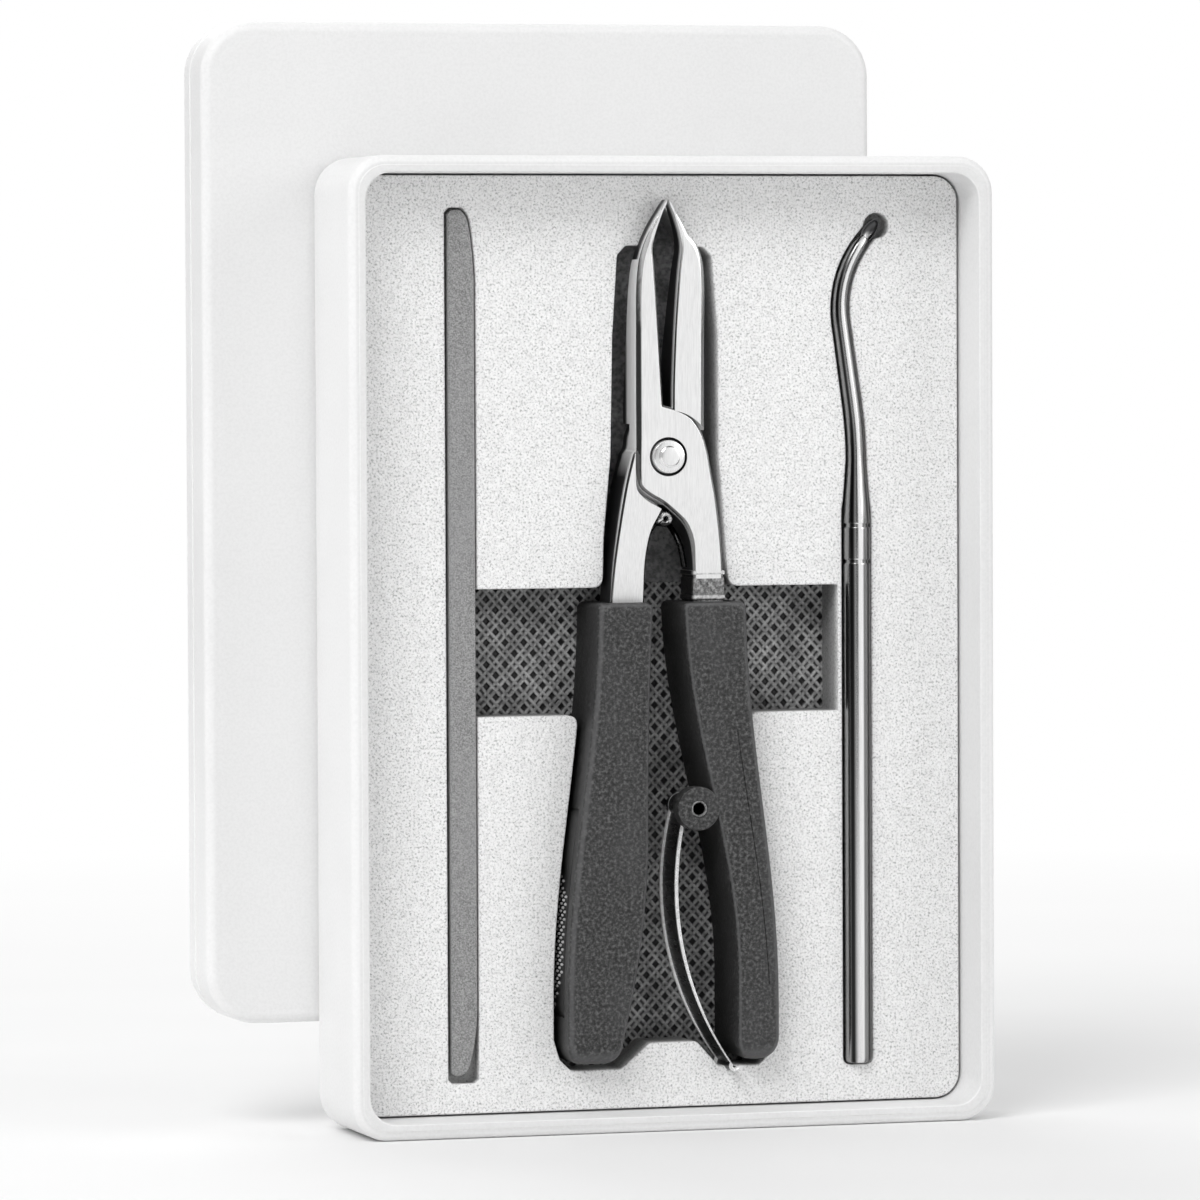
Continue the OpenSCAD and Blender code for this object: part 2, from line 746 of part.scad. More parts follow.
module spoon_collar() {
    color("silver") difference() {
        union() {
            spoon_rod(spoon_r - groove_depth, handle_mouth, collar_top);
            spoon_rod(spoon_r, handle_mouth + groove_len, collar_top - groove_len);
        }
        spoon_rod(spigot_r + spigot_clear, handle_mouth - past, collar_top + past);
    }
}

// Arc of the neck: a torus piece about (cx, cz), swept by a turn in the XZ plane
module neck_arc(cx, cz, bend, r, from, sweep) {
    translate([cx, spoon_y, cz]) rotate([90, 0, 0]) rotate([0, 0, from])
        rotate_extrude(angle = sweep) translate([bend, 0]) circle(r);
}

// Each stretch of the neck is a little thinner than the one it grows from, and starts inside it
neck_step = 0.05;
neck_root = 0.4;
root_one = neck_root / bend_one_r * 180 / PI;
root_two = neck_root / bend_two_r * 180 / PI;

module spoon_tip() {
    color("silver") {
        spoon_rod(spigot_r, handle_mouth - spigot_len + spigot_clear, collar_top + past);
        translate([tool_pitch, spoon_y, collar_top])
            cylinder(r1 = spoon_r, r2 = neck_r, h = tip_straight);
        neck_arc(tool_pitch - bend_one_r, bend_z, bend_one_r, neck_r - neck_step,
            -root_one, lean + root_one);
        translate([lean_x, spoon_y, lean_z]) rotate([0, -lean, 0])
            translate([0, 0, -neck_root]) cylinder(r = neck_r - 2 * neck_step, h = lean_len + neck_root);
        neck_arc(turn_cx, turn_cz, bend_two_r, neck_r - 3 * neck_step,
            180 - bow_out, bow_out + lean + root_two);
        spoon_bowl();
    }
}

// Round dish at the end of the neck, hollow towards the front
module spoon_bowl() {
    dish_d = 1.6;
    translate([bowl_x, spoon_y, bowl_z]) rotate([90, 0, 0]) rotate_extrude() polygon([
        [0, -dish_d / 2], [bowl_r - bowl_wall, -dish_d / 2], [bowl_r, -dish_d / 4],
        [bowl_r, dish_d / 2], [bowl_r - bowl_wall, dish_d / 2],
        [bowl_r - 2 * bowl_wall, 0], [0, -dish_d / 4]
    ]);
}

base_tray();
backing_pad();
lattice_sheet();
foam_insert();
lid();
pivot_rivet();
rivet_collar();
return_spring();
front_lever();
right_handle();
right_grip_pad();
latch_pin();
lock_latch();
rear_lever();
left_handle();
left_grip_pad();
nail_file();
spoon_handle();
spoon_collar();
spoon_tip();
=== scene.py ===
"""Looks of the manicure set case: tray, foam, nipper, file, ear spoon and lid.

Sizes are in millimetres in the part's frame and turn into metres in finished().
"""

import json
import math

import bmesh
import bpy
import numpy as np
from mathutils import Matrix, Vector


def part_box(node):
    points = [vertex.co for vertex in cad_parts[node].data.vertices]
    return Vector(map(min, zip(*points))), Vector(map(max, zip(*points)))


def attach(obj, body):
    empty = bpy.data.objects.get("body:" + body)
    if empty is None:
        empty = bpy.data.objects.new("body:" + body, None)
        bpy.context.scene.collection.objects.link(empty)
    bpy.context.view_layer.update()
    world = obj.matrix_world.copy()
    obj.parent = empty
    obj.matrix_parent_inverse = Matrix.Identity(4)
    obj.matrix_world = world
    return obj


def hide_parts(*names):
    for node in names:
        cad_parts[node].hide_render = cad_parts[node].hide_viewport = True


MM = 0.001

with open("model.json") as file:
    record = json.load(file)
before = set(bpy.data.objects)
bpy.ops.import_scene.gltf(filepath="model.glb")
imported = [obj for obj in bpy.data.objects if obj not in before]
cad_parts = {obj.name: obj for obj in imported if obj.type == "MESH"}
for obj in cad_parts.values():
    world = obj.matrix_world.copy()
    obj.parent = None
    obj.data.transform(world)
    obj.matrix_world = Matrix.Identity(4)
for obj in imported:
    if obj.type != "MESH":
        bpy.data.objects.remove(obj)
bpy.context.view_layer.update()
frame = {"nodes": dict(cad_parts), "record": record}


def box_mm(node):
    """Lowest and highest corner of a CAD node in millimetres."""
    low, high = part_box(node)
    return [c / MM for c in low], [c / MM for c in high]


# Places taken from the frame
tray_low, tray_high = box_mm("base_tray")
lid_low, lid_high = box_mm("lid")
foam_low, foam_high = box_mm("foam_insert")
sheet_low, sheet_high = box_mm("lattice_sheet")
file_low, file_high = box_mm("nail_file")
rod_low, rod_high = box_mm("spoon_handle")
collar_low, collar_high = box_mm("spoon_collar")
hinge = next(j for j in frame["record"]["behaviour"]["joints"] if j["name"] == "right_arm_open")
pivot_x, nip_y, pivot_z = [c / MM for c in hinge["pos_m"]]

# Sizes shared with the solids
case_r = 5.5
inner_r = 4.1
case_wall = 2.5
case_back = 2.0
edge_r = 1.6
lid_wall = 1.8
lid_r = 7.7
handle_top = 21.7
handle_end = 90.4
handle_t = 13.0
metal_t = 8.0
lap_r = 6.8
lap_gap = 0.12
boss_x = 3.8
boss_z = -52.5
notch_z = pivot_z - 29.0
notch_h = 19.0
tool_x = 31.0
spoon_y = (rod_low[1] + rod_high[1]) / 2
spoon_top = box_mm("spoon_tip")[1][2]


# Curves and outlines


def smooth_run(points, step=0.7):
    """Curve through points given as (x, z), with a point about every step."""
    if len(points) < 3:
        return [tuple(p) for p in points]
    pts = [np.array(p, float) for p in points]
    pts = [2 * pts[0] - pts[1]] + pts + [2 * pts[-1] - pts[-2]]
    out = []
    for a, b, c, d in zip(pts, pts[1:], pts[2:], pts[3:]):
        t0 = 0.0
        t1 = t0 + math.sqrt(np.linalg.norm(b - a))
        t2 = t1 + math.sqrt(np.linalg.norm(c - b))
        t3 = t2 + math.sqrt(np.linalg.norm(d - c))
        count = max(2, round(np.linalg.norm(c - b) / step))
        for i in range(count):
            t = t1 + (t2 - t1) * i / count
            ab = (t1 - t) / (t1 - t0) * a + (t - t0) / (t1 - t0) * b
            bc = (t2 - t) / (t2 - t1) * b + (t - t1) / (t2 - t1) * c
            cd = (t3 - t) / (t3 - t2) * c + (t - t2) / (t3 - t2) * d
            left = (t2 - t) / (t2 - t0) * ab + (t - t0) / (t2 - t0) * bc
            right = (t3 - t) / (t3 - t1) * bc + (t - t1) / (t3 - t1) * cd
            out.append(tuple((t2 - t) / (t2 - t1) * left + (t - t1) / (t2 - t1) * right))
    out.append(tuple(points[-1]))
    return out


def closed(*runs, step=0.7):
    """Closed outline: each run is a smooth curve, and corners stay where runs meet."""
    out = []
    for run in runs:
        for p in smooth_run(run, step):
            if not out or math.dist(out[-1], p) > 1e-4:
                out.append(p)
    if math.dist(out[0], out[-1]) < 1e-4:
        out.pop()
    return out


def rounded(points, radii, steps=6):
    """Polygon whose corners are drawn as arcs of the given radii."""
    out = []
    count = len(points)
    for i, r in enumerate(radii):
        p, a, b = (np.array(points[k % count], float) for k in (i, i - 1, i + 1))
        if r <= 0:
            out.append(tuple(p))
            continue
        u, v = a - p, b - p
        lu, lv = np.linalg.norm(u), np.linalg.norm(v)
        u, v = u / lu, v / lv
        half = math.acos(max(-1, min(1, float(u @ v)))) / 2
        reach = min(r / math.tan(half), 0.49 * lu, 0.49 * lv)
        start, end = p + u * reach, p + v * reach
        for k in range(steps + 1):
            t = k / steps
            out.append(tuple((1 - t) ** 2 * start + 2 * t * (1 - t) * p + t * t * end))
    return out


def round_rect(w, h, r, steps=10):
    """Rectangle with round corners about the origin."""
    out = []
    corners = [(w / 2 - r, h / 2 - r), (r - w / 2, h / 2 - r), (r - w / 2, r - h / 2), (w / 2 - r, r - h / 2)]
    for quarter, (x, z) in enumerate(corners):
        for k in range(steps + 1):
            a = math.pi / 2 * (quarter + k / steps)
            out.append((x + r * math.cos(a), z + r * math.sin(a)))
    return out


def circle(r, count=48, x=0.0, z=0.0):
    return [(x + r * math.cos(2 * math.pi * k / count), z + r * math.sin(2 * math.pi * k / count))
            for k in range(count)]


def shifted(outline, x, z):
    return [(p[0] + x, p[1] + z) for p in outline]


def mirrored(outline):
    return [(-p[0], p[1]) for p in outline]


def turned_ccw(ring):
    area = sum(a[0] * b[1] - b[0] * a[1] for a, b in zip(ring, ring[1:] + ring[:1]))
    return ring if area > 0 else ring[::-1]


def drawn_in(ring, dist):
    """The ring moved inwards by dist, a number or one number a point."""
    p = np.array(ring, float)
    e0 = p - np.roll(p, 1, 0)
    e1 = np.roll(p, -1, 0) - p
    e0 /= np.linalg.norm(e0, axis=1)[:, None]
    e1 /= np.linalg.norm(e1, axis=1)[:, None]
    n0 = np.stack([-e0[:, 1], e0[:, 0]], 1)
    n1 = np.stack([-e1[:, 1], e1[:, 0]], 1)
    m = (n0 + n1) / np.maximum(0.35, 1 + (n0 * n1).sum(1))[:, None]
    return p + m * np.broadcast_to(dist, len(p))[:, None]


# Meshes


def loft(bm, rings, caps=(True, True), ring_closed=True):
    """Joins rings of equal length with faces. Rings hold (x, y, z) points."""
    rows = [[bm.verts.new(p) for p in ring] for ring in rings]
    for a, b in zip(rows, rows[1:]):
        count = len(a)
        for k in range(count if ring_closed else count - 1):
            n = (k + 1) % count
            bm.faces.new((a[k], a[n], b[n], b[k]))
    if caps[0]:
        bm.faces.new(rows[0])
    if caps[1]:
        bm.faces.new(rows[-1][::-1])
    return rows


def plate(bm, outline, y0, y1, bevel=0.3, back_bevel=None, steps=3, rim=None):
    """Solid of an outline in X and Z from y0 to y1, its rims rounded by bevel.

    Bevels are numbers, or functions of a point. A rim lists (inset, depth) shares of the bevel.
    """
    ring = turned_ccw(list(outline))
    back_bevel = bevel if back_bevel is None else back_bevel
    if rim is None:
        turns = [math.pi / 2 * k / steps for k in range(steps + 1)]
        rim = [(1 - math.sin(a), 1 - math.cos(a)) for a in turns]
    widths = []
    for size in (bevel, back_bevel):
        wide = np.array([size(x, z) if callable(size) else size for x, z in ring], float)
        for _ in range(4 if callable(size) else 0):
            wide = (np.roll(wide, 1) + 2 * wide + np.roll(wide, -1)) / 4
        widths.append(wide)
    rings = []
    for wide, y, turn, order in ((widths[0], y0, 1, rim), (widths[1], y1, -1, rim[::-1])):
        for inset, depth in order:
            moved = drawn_in(ring, wide * inset)
            rings.append([(x, y + turn * w * depth, z) for (x, z), w in zip(moved, wide)])
    loft(bm, rings)


def sliced(bm, levels):
    """Cuts every face at these heights, so that the mesh can bend or be holed there."""
    for z in levels:
        geom = bm.verts[:] + bm.edges[:] + bm.faces[:]
        bmesh.ops.bisect_plane(bm, geom=geom, plane_co=(0, 0, z), plane_no=(0, 0, 1), dist=1e-5)


def lathe(bm, profile, centre, axis="y", count=48):
    """Turns a profile of (radius, distance along the axis) round an axis through centre."""
    cx, cy, cz = centre
    rings = []
    for r, d in profile:
        ring = []
        for k in range(count):
            a = 2 * math.pi * k / count
            c, s = r * math.cos(a), r * math.sin(a)
            ring.append((cx + c, cy + d, cz + s) if axis == "y" else (cx + c, cy + s, cz + d))
        rings.append(ring)
    capped = profile[0] != profile[-1]
    loft(bm, rings, caps=(capped and profile[0][0] > 0, capped and profile[-1][0] > 0))


def tube(bm, path, radii, count=12, flat=None):
    """Round tube along a path of points, one radius a point, with domed ends."""
    p = [Vector(v) for v in path]
    rings = []
    side = Vector((0, 1, 0))
    for i, point in enumerate(p):
        t = (p[min(i + 1, len(p) - 1)] - p[max(i - 1, 0)]).normalized()
        side = (side - t * side.dot(t)).normalized()
        other = t.cross(side)
        squeeze = 1.0 if flat is None else flat[i]
        rings.append([
            point + side * (radii[i] * squeeze * math.cos(2 * math.pi * k / count))
            + other * (radii[i] * math.sin(2 * math.pi * k / count)) for k in range(count)])
    loft(bm, rings)


def new_object(name, bm):
    bmesh.ops.remove_doubles(bm, verts=bm.verts[:], dist=1e-5)
    bmesh.ops.recalc_face_normals(bm, faces=bm.faces[:])
    bm.transform(Matrix.Scale(MM, 4))
    mesh = bpy.data.meshes.new(name)
    bm.to_mesh(mesh)
    bm.free()
    obj = bpy.data.objects.new(name, mesh)
    bpy.context.scene.collection.objects.link(obj)
    return obj


def bake(obj):
    """Turns the object's modifiers into its mesh."""
    bpy.context.view_layer.update()
    deps = bpy.context.evaluated_depsgraph_get()
    mesh = bpy.data.meshes.new_from_object(obj.evaluated_get(deps), preserve_all_data_layers=True, depsgraph=deps)
    obj.modifiers.clear()
    obj.data = mesh


def combine(obj, other, operation="DIFFERENCE"):
    """Cuts the other object out of obj, or joins it, and removes it."""
    mod = obj.modifiers.new("combine", "BOOLEAN")
    mod.operation = operation
    mod.solver = "EXACT"
    mod.object = other
    bake(obj)
    bpy.data.objects.remove(other)


def finished(obj, body, material, nodes=(), sharp=38, weighted=True):
    """Shades the piece, gives it its material and hangs it on its CAD body."""
    bm = bmesh.new()
    bm.from_mesh(obj.data)
    bmesh.ops.dissolve_degenerate(bm, dist=2e-7, edges=bm.edges[:])
    for face in bm.faces:
        face.smooth = True
    limit = math.radians(sharp)
    for edge in bm.edges:
        edge.smooth = len(edge.link_faces) == 2 and edge.calc_face_angle(0) < limit
    bm.to_mesh(obj.data)
    bm.free()
    if weighted:
        mod = obj.modifiers.new("normals", "WEIGHTED_NORMAL")
        mod.keep_sharp = True
        mod.weight = 80
        bake(obj)
    obj.data.materials.clear()
    obj.data.materials.append(material)
    if nodes:
        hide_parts(*nodes)
    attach(obj, body)
    return obj


# Materials


def set_ramp(ramp, stops):
    ramp.elements[0].position, ramp.elements[-1].position = stops[0][0], stops[-1][0]
    for where, _ in stops[1:-1]:
        ramp.elements.new(where)
    for element, (_, value) in zip(ramp.elements, stops):
        element.color = (*value, 1) if isinstance(value, tuple) else (value, value, value, 1)


class Paint:
    """A material and short ways to add nodes to it."""

    def __init__(self, name):
        self.mat = bpy.data.materials.new(name)
        self.mat.use_nodes = True
        self.tree = self.mat.node_tree
        self.bsdf = self.tree.nodes["Principled BSDF"]
        self.place = self.tree.nodes.new("ShaderNodeTexCoord").outputs["Object"]

    def set(self, **values):
        for name, value in values.items():
            self.bsdf.inputs[name.replace("_", " ")].default_value = value
        return self

    def link(self, source, name):
        self.tree.links.new(source, self.bsdf.inputs[name])

    def node(self, kind, inputs=None, **settings):
        made = self.tree.nodes.new(kind)
        for name, value in settings.items():
            setattr(made, name, value)
        for name, value in (inputs or {}).items():
            if isinstance(value, bpy.types.NodeSocket):
                self.tree.links.new(value, made.inputs[name])
            else:
                made.inputs[name].default_value = value
        return made

    def stretched(self, scale):
        return self.node("ShaderNodeMapping", {"Vector": self.place, "Scale": scale}).outputs["Vector"]

    def noise(self, grain, stretch=(1, 1, 1), detail=3.0, rough=0.55):
        """Noise whose grain is about this many millimetres."""
        where = self.stretched(tuple(s / (grain * MM) for s in stretch))
        return self.node("ShaderNodeTexNoise", {
            "Vector": where, "Scale": 1.0, "Detail": detail, "Roughness": rough}).outputs["Fac"]

    def cells(self, size, stretch=(1, 1, 1)):
        where = self.stretched(tuple(s / (size * MM) for s in stretch))
        return self.node("ShaderNodeTexVoronoi", {"Vector": where, "Scale": 1.0}).outputs["Distance"]

    def ramp(self, fac, stops):
        made = self.node("ShaderNodeValToRGB", {"Fac": fac})
        set_ramp(made.color_ramp, stops)
        return made.outputs["Color"]

    def math(self, operation, a, b=0.5, clamp=False):
        made = self.node("ShaderNodeMath", operation=operation, use_clamp=clamp)
        for socket, value in zip(made.inputs, (a, b)):
            if isinstance(value, bpy.types.NodeSocket):
                self.tree.links.new(value, socket)
            else:
                socket.default_value = value
        return made.outputs[0]

    def mix(self, fac, a, b):
        made = self.node("ShaderNodeMix", data_type="RGBA")
        for socket, value in ((made.inputs[0], fac), (made.inputs[6], a), (made.inputs[7], b)):
            if isinstance(value, bpy.types.NodeSocket):
                self.tree.links.new(value, socket)
            else:
                socket.default_value = value
        return made.outputs[2]

    def times(self, a, b):
        """One colour multiplied by another."""
        made = self.node("ShaderNodeMix", data_type="RGBA", blend_type="MULTIPLY")
        made.inputs[0].default_value = 1.0
        self.tree.links.new(a, made.inputs[6])
        self.tree.links.new(b, made.inputs[7])
        return made.outputs[2]

    def along(self, axis, start, end):
        """Rises from 0 to 1 between two places in millimetres on an axis of the frame."""
        parts = self.node("ShaderNodeSeparateXYZ", {"Vector": self.place})
        made = self.node("ShaderNodeMapRange", {
            "Value": parts.outputs[axis], "From Min": start * MM, "From Max": end * MM})
        return made.outputs[0]

    def bump(self, height, depth, strength=1.0, after=None):
        """Bump whose full height is about this many millimetres."""
        made = self.node("ShaderNodeBump", {"Height": height, "Distance": depth * MM, "Strength": strength})
        if after is not None:
            self.tree.links.new(after, made.inputs["Normal"])
        self.link(made.outputs["Normal"], "Normal")
        return made.outputs["Normal"]

    def facing(self, axis):
        """Part of the piece's own normal along x, y or z, without its sign."""
        normal = self.node("ShaderNodeTexCoord").outputs["Normal"]
        parts = self.node("ShaderNodeSeparateXYZ", {"Vector": normal})
        return self.math("ABSOLUTE", parts.outputs["XYZ".index(axis)])


def frosted_plastic(name, low, high, rim):
    """Frosted white plastic with a fine grain and faint cloudiness; faces turned square to the front and back take the
    greyer rim tone as painted shade.
    """
    p = Paint(name).set(Roughness=0.42, Subsurface_Weight=0.12, Subsurface_Scale=0.004, IOR=1.46)
    p.set(Subsurface_Radius=(1.0, 1.0, 1.0))
    cloud = p.noise(26, detail=2)
    grain = p.noise(0.45, detail=4)
    fine = p.ramp(grain, [(0.35, 0.955), (0.6, 1.0)])
    white = p.times(p.ramp(cloud, [(0.3, low), (0.7, high)]), fine)
    # painted shade: faces square to the front and back are painted in the greyer rim tone
    front = p.ramp(p.facing("Y"), [(0.93, 0.0), (0.985, 1.0)])
    p.link(p.mix(front, white, p.times(fine, p.ramp(cloud, [(0.3, rim - 0.01), (0.7, rim + 0.01)]))), "Base Color")
    p.link(p.ramp(p.noise(0.5), [(0.3, 0.36), (0.7, 0.5)]), "Roughness")
    p.bump(grain, 0.03, 0.45)
    return p.mat


def foam_material():
    """White closed-cell foam: pale cells with darker pores of several sizes, and painted shade that darkens its cut
    walls with depth.
    """
    p = Paint("foam").set(Roughness=0.85, Specular_IOR_Level=0.25, Sheen_Weight=0.2)
    fine = p.noise(0.34, detail=3, rough=0.65)
    coarse = p.noise(1.3, detail=2)
    speckle = p.ramp(fine, [(0.3, 0.36), (0.44, 0.8), (0.56, 0.98)])
    tint = p.ramp(coarse, [(0.3, 0.93), (0.7, 1.0)])
    # painted shade: the foam is darker the deeper it lies behind its front face, in the cut walls
    painted_recess_shade = p.ramp(p.along("Y", foam_low[1] + 0.3, foam_low[1] + 5), [(0.0, 1.0), (0.4, 0.4), (1.0, 0.2)])
    p.link(p.times(p.times(speckle, tint), painted_recess_shade), "Base Color")
    pores = p.bump(p.cells(0.6), 0.12, 0.5)
    p.bump(fine, 0.16, 0.7, after=pores)
    return p.mat


def tube_material():
    """Rolled tube: steel at its front end, painted near black behind it as shade down its bore and inside the handle.
    """
    p = Paint("pin_steel").set(Metallic=0.9)
    scale = p.noise(0.5, detail=4)
    inside = p.ramp(scale, [(0.3, 0.01), (0.7, 0.03)])
    rim = p.ramp(scale, [(0.35, 0.1), (0.65, 0.34)])
    # painted shade: all of the tube behind its front end is near black
    p.link(p.mix(p.ramp(p.along("Y", -7.5, -6.9), [(0.25, 0.0), (0.8, 1.0)]), rim, inside), "Base Color")
    p.link(p.ramp(scale, [(0.3, 0.25), (0.7, 0.4)]), "Roughness")
    p.bump(scale, 0.02, 0.4)
    return p.mat


def latch_material():
    """Strip whose faces are painted dark as a painted reflection and whose rims are painted near white and less
    metallic as painted highlights.
    """
    p = Paint("latch_steel").set(Roughness=0.3)
    near = p.along("Y", nip_y - 3.05, nip_y - 3.25)
    far = p.along("Y", nip_y + 2.7, nip_y + 2.85)
    # painted highlight: both rims of the strip are near white and less metallic; painted reflection: its faces are
    # near black
    rim = p.math("MAXIMUM", near, far)
    scale = p.noise(1.2, stretch=(1, 0.2, 1), detail=4)
    dark = p.ramp(scale, [(0.3, 0.012), (0.7, 0.035)])
    bright = p.ramp(scale, [(0.3, 0.8), (0.7, 0.95)])
    p.link(p.mix(rim, dark, bright), "Base Color")
    metal = p.math("SUBTRACT", 0.9, p.math("MULTIPLY", near, 0.45))
    p.link(p.math("SUBTRACT", metal, p.math("MULTIPLY", far, 0.8)), "Metallic")
    p.link(p.ramp(scale, [(0.3, 0.22), (0.7, 0.34)]), "Roughness")
    p.bump(scale, 0.01, 0.3)
    return p.mat


def wire_material():
    """Spring wire: bright steel on the coil, its legs painted dark as shade."""
    p = Paint("spring_steel").set(Metallic=1.0)
    scale = p.noise(0.4, detail=3)
    dark = p.ramp(scale, [(0.3, 0.02), (0.7, 0.05)])
    bright = p.ramp(scale, [(0.35, 0.25), (0.5, 0.55), (0.65, 0.9)])
    # painted shade: the legs below the coil are near black
    p.link(p.mix(p.along("Z", pivot_z - 10.0, pivot_z - 9.5), dark, bright), "Base Color")
    p.link(p.ramp(scale, [(0.3, 0.2), (0.7, 0.32)]), "Roughness")
    p.bump(scale, 0.02, 0.4)
    return p.mat


def cast_material():
    """Rough grey shoulder of the shank, left as forged, its two ribs painted bright as highlights and its sides
    painted near black as shade.
    """
    p = Paint("forged_steel").set(Metallic=0.8)
    scale = p.noise(0.55, detail=4, rough=0.7)
    rough_grey = p.ramp(scale, [(0.35, 0.07), (0.5, 0.2), (0.65, 0.42)])
    paler_tone = p.ramp(scale, [(0.35, 0.4), (0.65, 0.8)])
    # painted highlight: the two ribs take the bright tone
    ribs = p.ramp(p.along("Z", pivot_z - 21.9, pivot_z - 16.9),
                  [(0.12, 0.0), (0.16, 1.0), (0.22, 1.0), (0.28, 0.0), (0.8, 0.0), (0.84, 1.0), (0.95, 1.0)])
    front = p.mix(ribs, rough_grey, paler_tone)
    # painted shade: the side faces behind the front are near black
    side = p.math("MULTIPLY", p.ramp(p.facing("X"), [(0.4, 0.0), (0.7, 1.0)]), p.along("Y", nip_y - 3.2, nip_y - 2.4))
    p.link(p.mix(side, front, (0.02, 0.02, 0.021, 1)), "Base Color")
    p.link(p.ramp(scale, [(0.3, 0.5), (0.7, 0.32)]), "Roughness")
    p.bump(scale, 0.12, 0.8)
    return p.mat


def painted_shade_mask(p, flat):
    """Mask of painted shade on the nipper: deep on its sides and in the seat of the rivet."""
    parts = p.node("ShaderNodeSeparateXYZ", {"Vector": p.place})
    left = p.math("SUBTRACT", parts.outputs["X"], pivot_x * MM)
    rise = p.math("SUBTRACT", parts.outputs["Z"], pivot_z * MM)
    across = p.math("ABSOLUTE", left)
    side = p.ramp(flat, [(0.3, 1.0), (0.5, 0.0)])
    clear = p.math("GREATER_THAN", p.math("ABSOLUTE", rise), 7.2 * MM)
    inner = p.math("MULTIPLY", p.math("LESS_THAN", across, 4.45 * MM), clear)
    shank = p.math("MULTIPLY", p.math("LESS_THAN", left, -5.2 * MM), p.along("Z", pivot_z + 2.5, pivot_z - 3.0))
    forward = p.math("MULTIPLY", p.math("MAXIMUM", inner, shank), p.along("Y", nip_y - 3.6, nip_y - 2.5))
    walls = p.math("MULTIPLY", side, p.math("MAXIMUM", forward, p.along("Y", nip_y + 0.9, nip_y + 2.0)))
    away = p.math("SQRT", p.math("ADD", p.math("MULTIPLY", across, across), p.math("MULTIPLY", rise, rise)))
    # painted shade: the ring of the rivet's seat
    seat = p.math("MULTIPLY", p.math("LESS_THAN", away, 2.96 * MM), p.math("GREATER_THAN", away, 2.47 * MM))
    return p.math("MAXIMUM", walls, p.math("MULTIPLY", seat, p.along("Y", nip_y - 3.95, nip_y - 3.75)), clamp=True)


def spoon_material():
    """Drawn rod with polish streaks and bands of painted reflection, darker round its flanks, and painted shade in the
    small bowl.
    """
    p = Paint("spoon_steel").set(Metallic=1.0)
    lines = p.noise(1.0, stretch=(10, 10, 0.2), detail=4, rough=0.7)
    normal = p.node("ShaderNodeTexCoord").outputs["Normal"]
    parts = p.node("ShaderNodeSeparateXYZ", {"Vector": normal})
    turn = p.math("ARCTAN2", parts.outputs["X"], p.math("MULTIPLY", parts.outputs["Y"], -1.0))
    share = p.math("ADD", p.math("DIVIDE", turn, 2 * math.pi), 0.5)
    # painted reflection: tone set by the turn of the rod's normal, dark on its flanks
    painted_reflection_band = p.ramp(share, [(0.02, 0.35), (0.24, 0.08), (0.27, 0.3), (0.36, 0.38), (0.378, 0.12), (0.388, 0.025),
                          (0.418, 0.03), (0.438, 0.4), (0.46, 0.9), (0.525, 0.95), (0.546, 0.2), (0.56, 0.3),
                          (0.583, 0.32), (0.605, 0.04), (0.66, 0.03), (0.69, 0.35), (0.8, 0.5), (0.9, 0.15),
                          (0.98, 0.4)])
    worn = p.ramp(lines, [(0.25, 0.75), (0.75, 1.0)])
    base = p.times(painted_reflection_band, worn)
    # painted shade: the small bowl is dark grey
    bowl = p.along("Z", spoon_top - 3.6, spoon_top - 2.4)
    p.link(p.mix(bowl, base, (0.09, 0.09, 0.092, 1)), "Base Color")
    p.link(p.math("ADD", p.ramp(lines, [(0.0, 0.1), (1.0, 0.24)]), p.math("MULTIPLY", bowl, 0.2)), "Roughness")
    p.bump(lines, 0.012, 0.25)
    return p.mat


def steel(name, tone, face_rough, edge_rough, side_rough=0.4, bevel=None, diffuse=0.0, grain=(0.12, 0.12, 3.0),
          streak=0.35):
    """Ground steel: satin faces to the front and back, polished bevels painted darker as painted reflection lines, and
    duller sides with painted shade.
    """
    p = Paint(name).set(Metallic=1.0)
    lines = p.noise(1.0, stretch=tuple(1 / g for g in grain), detail=4, rough=0.7)
    cloud = p.noise(4.0, detail=2)
    worn = p.ramp(lines, [(0.25, tone * 0.8), (0.75, min(1.0, tone * 1.12))])
    base = p.mix(p.ramp(cloud, [(0.35, 0.0), (0.7, 0.35)]), worn, (tone, tone, tone, 1))
    flat = p.facing("Y")
    if bevel is not None:
        # painted reflection: the bevels take the darker bevel tone as dark lines
        painted_reflection_band = p.ramp(flat, [(0.5, 0.0), (0.62, 1.0), (0.8, 1.0), (0.88, 0.0)])
        base = p.mix(painted_reflection_band, base, (bevel, bevel, bevel, 1))
        # painted shade: sides, shank and rivet seat of the nipper are near black
        base = p.mix(painted_shade_mask(p, flat), base, (0.012, 0.012, 0.013, 1))
    p.link(base, "Base Color")
    if diffuse:
        p.link(p.ramp(flat, [(0.25, 1 - 2 * diffuse), (0.6, 1.0), (0.9, 1.0), (0.99, 1 - diffuse)]), "Metallic")
    rough = p.ramp(flat, [(0.3, side_rough), (0.55, edge_rough), (0.93, edge_rough), (0.99, face_rough)])
    p.link(p.math("ADD", rough, p.math("MULTIPLY", lines, 0.1)), "Roughness")
    p.bump(lines, 0.012, streak)
    return p.mat


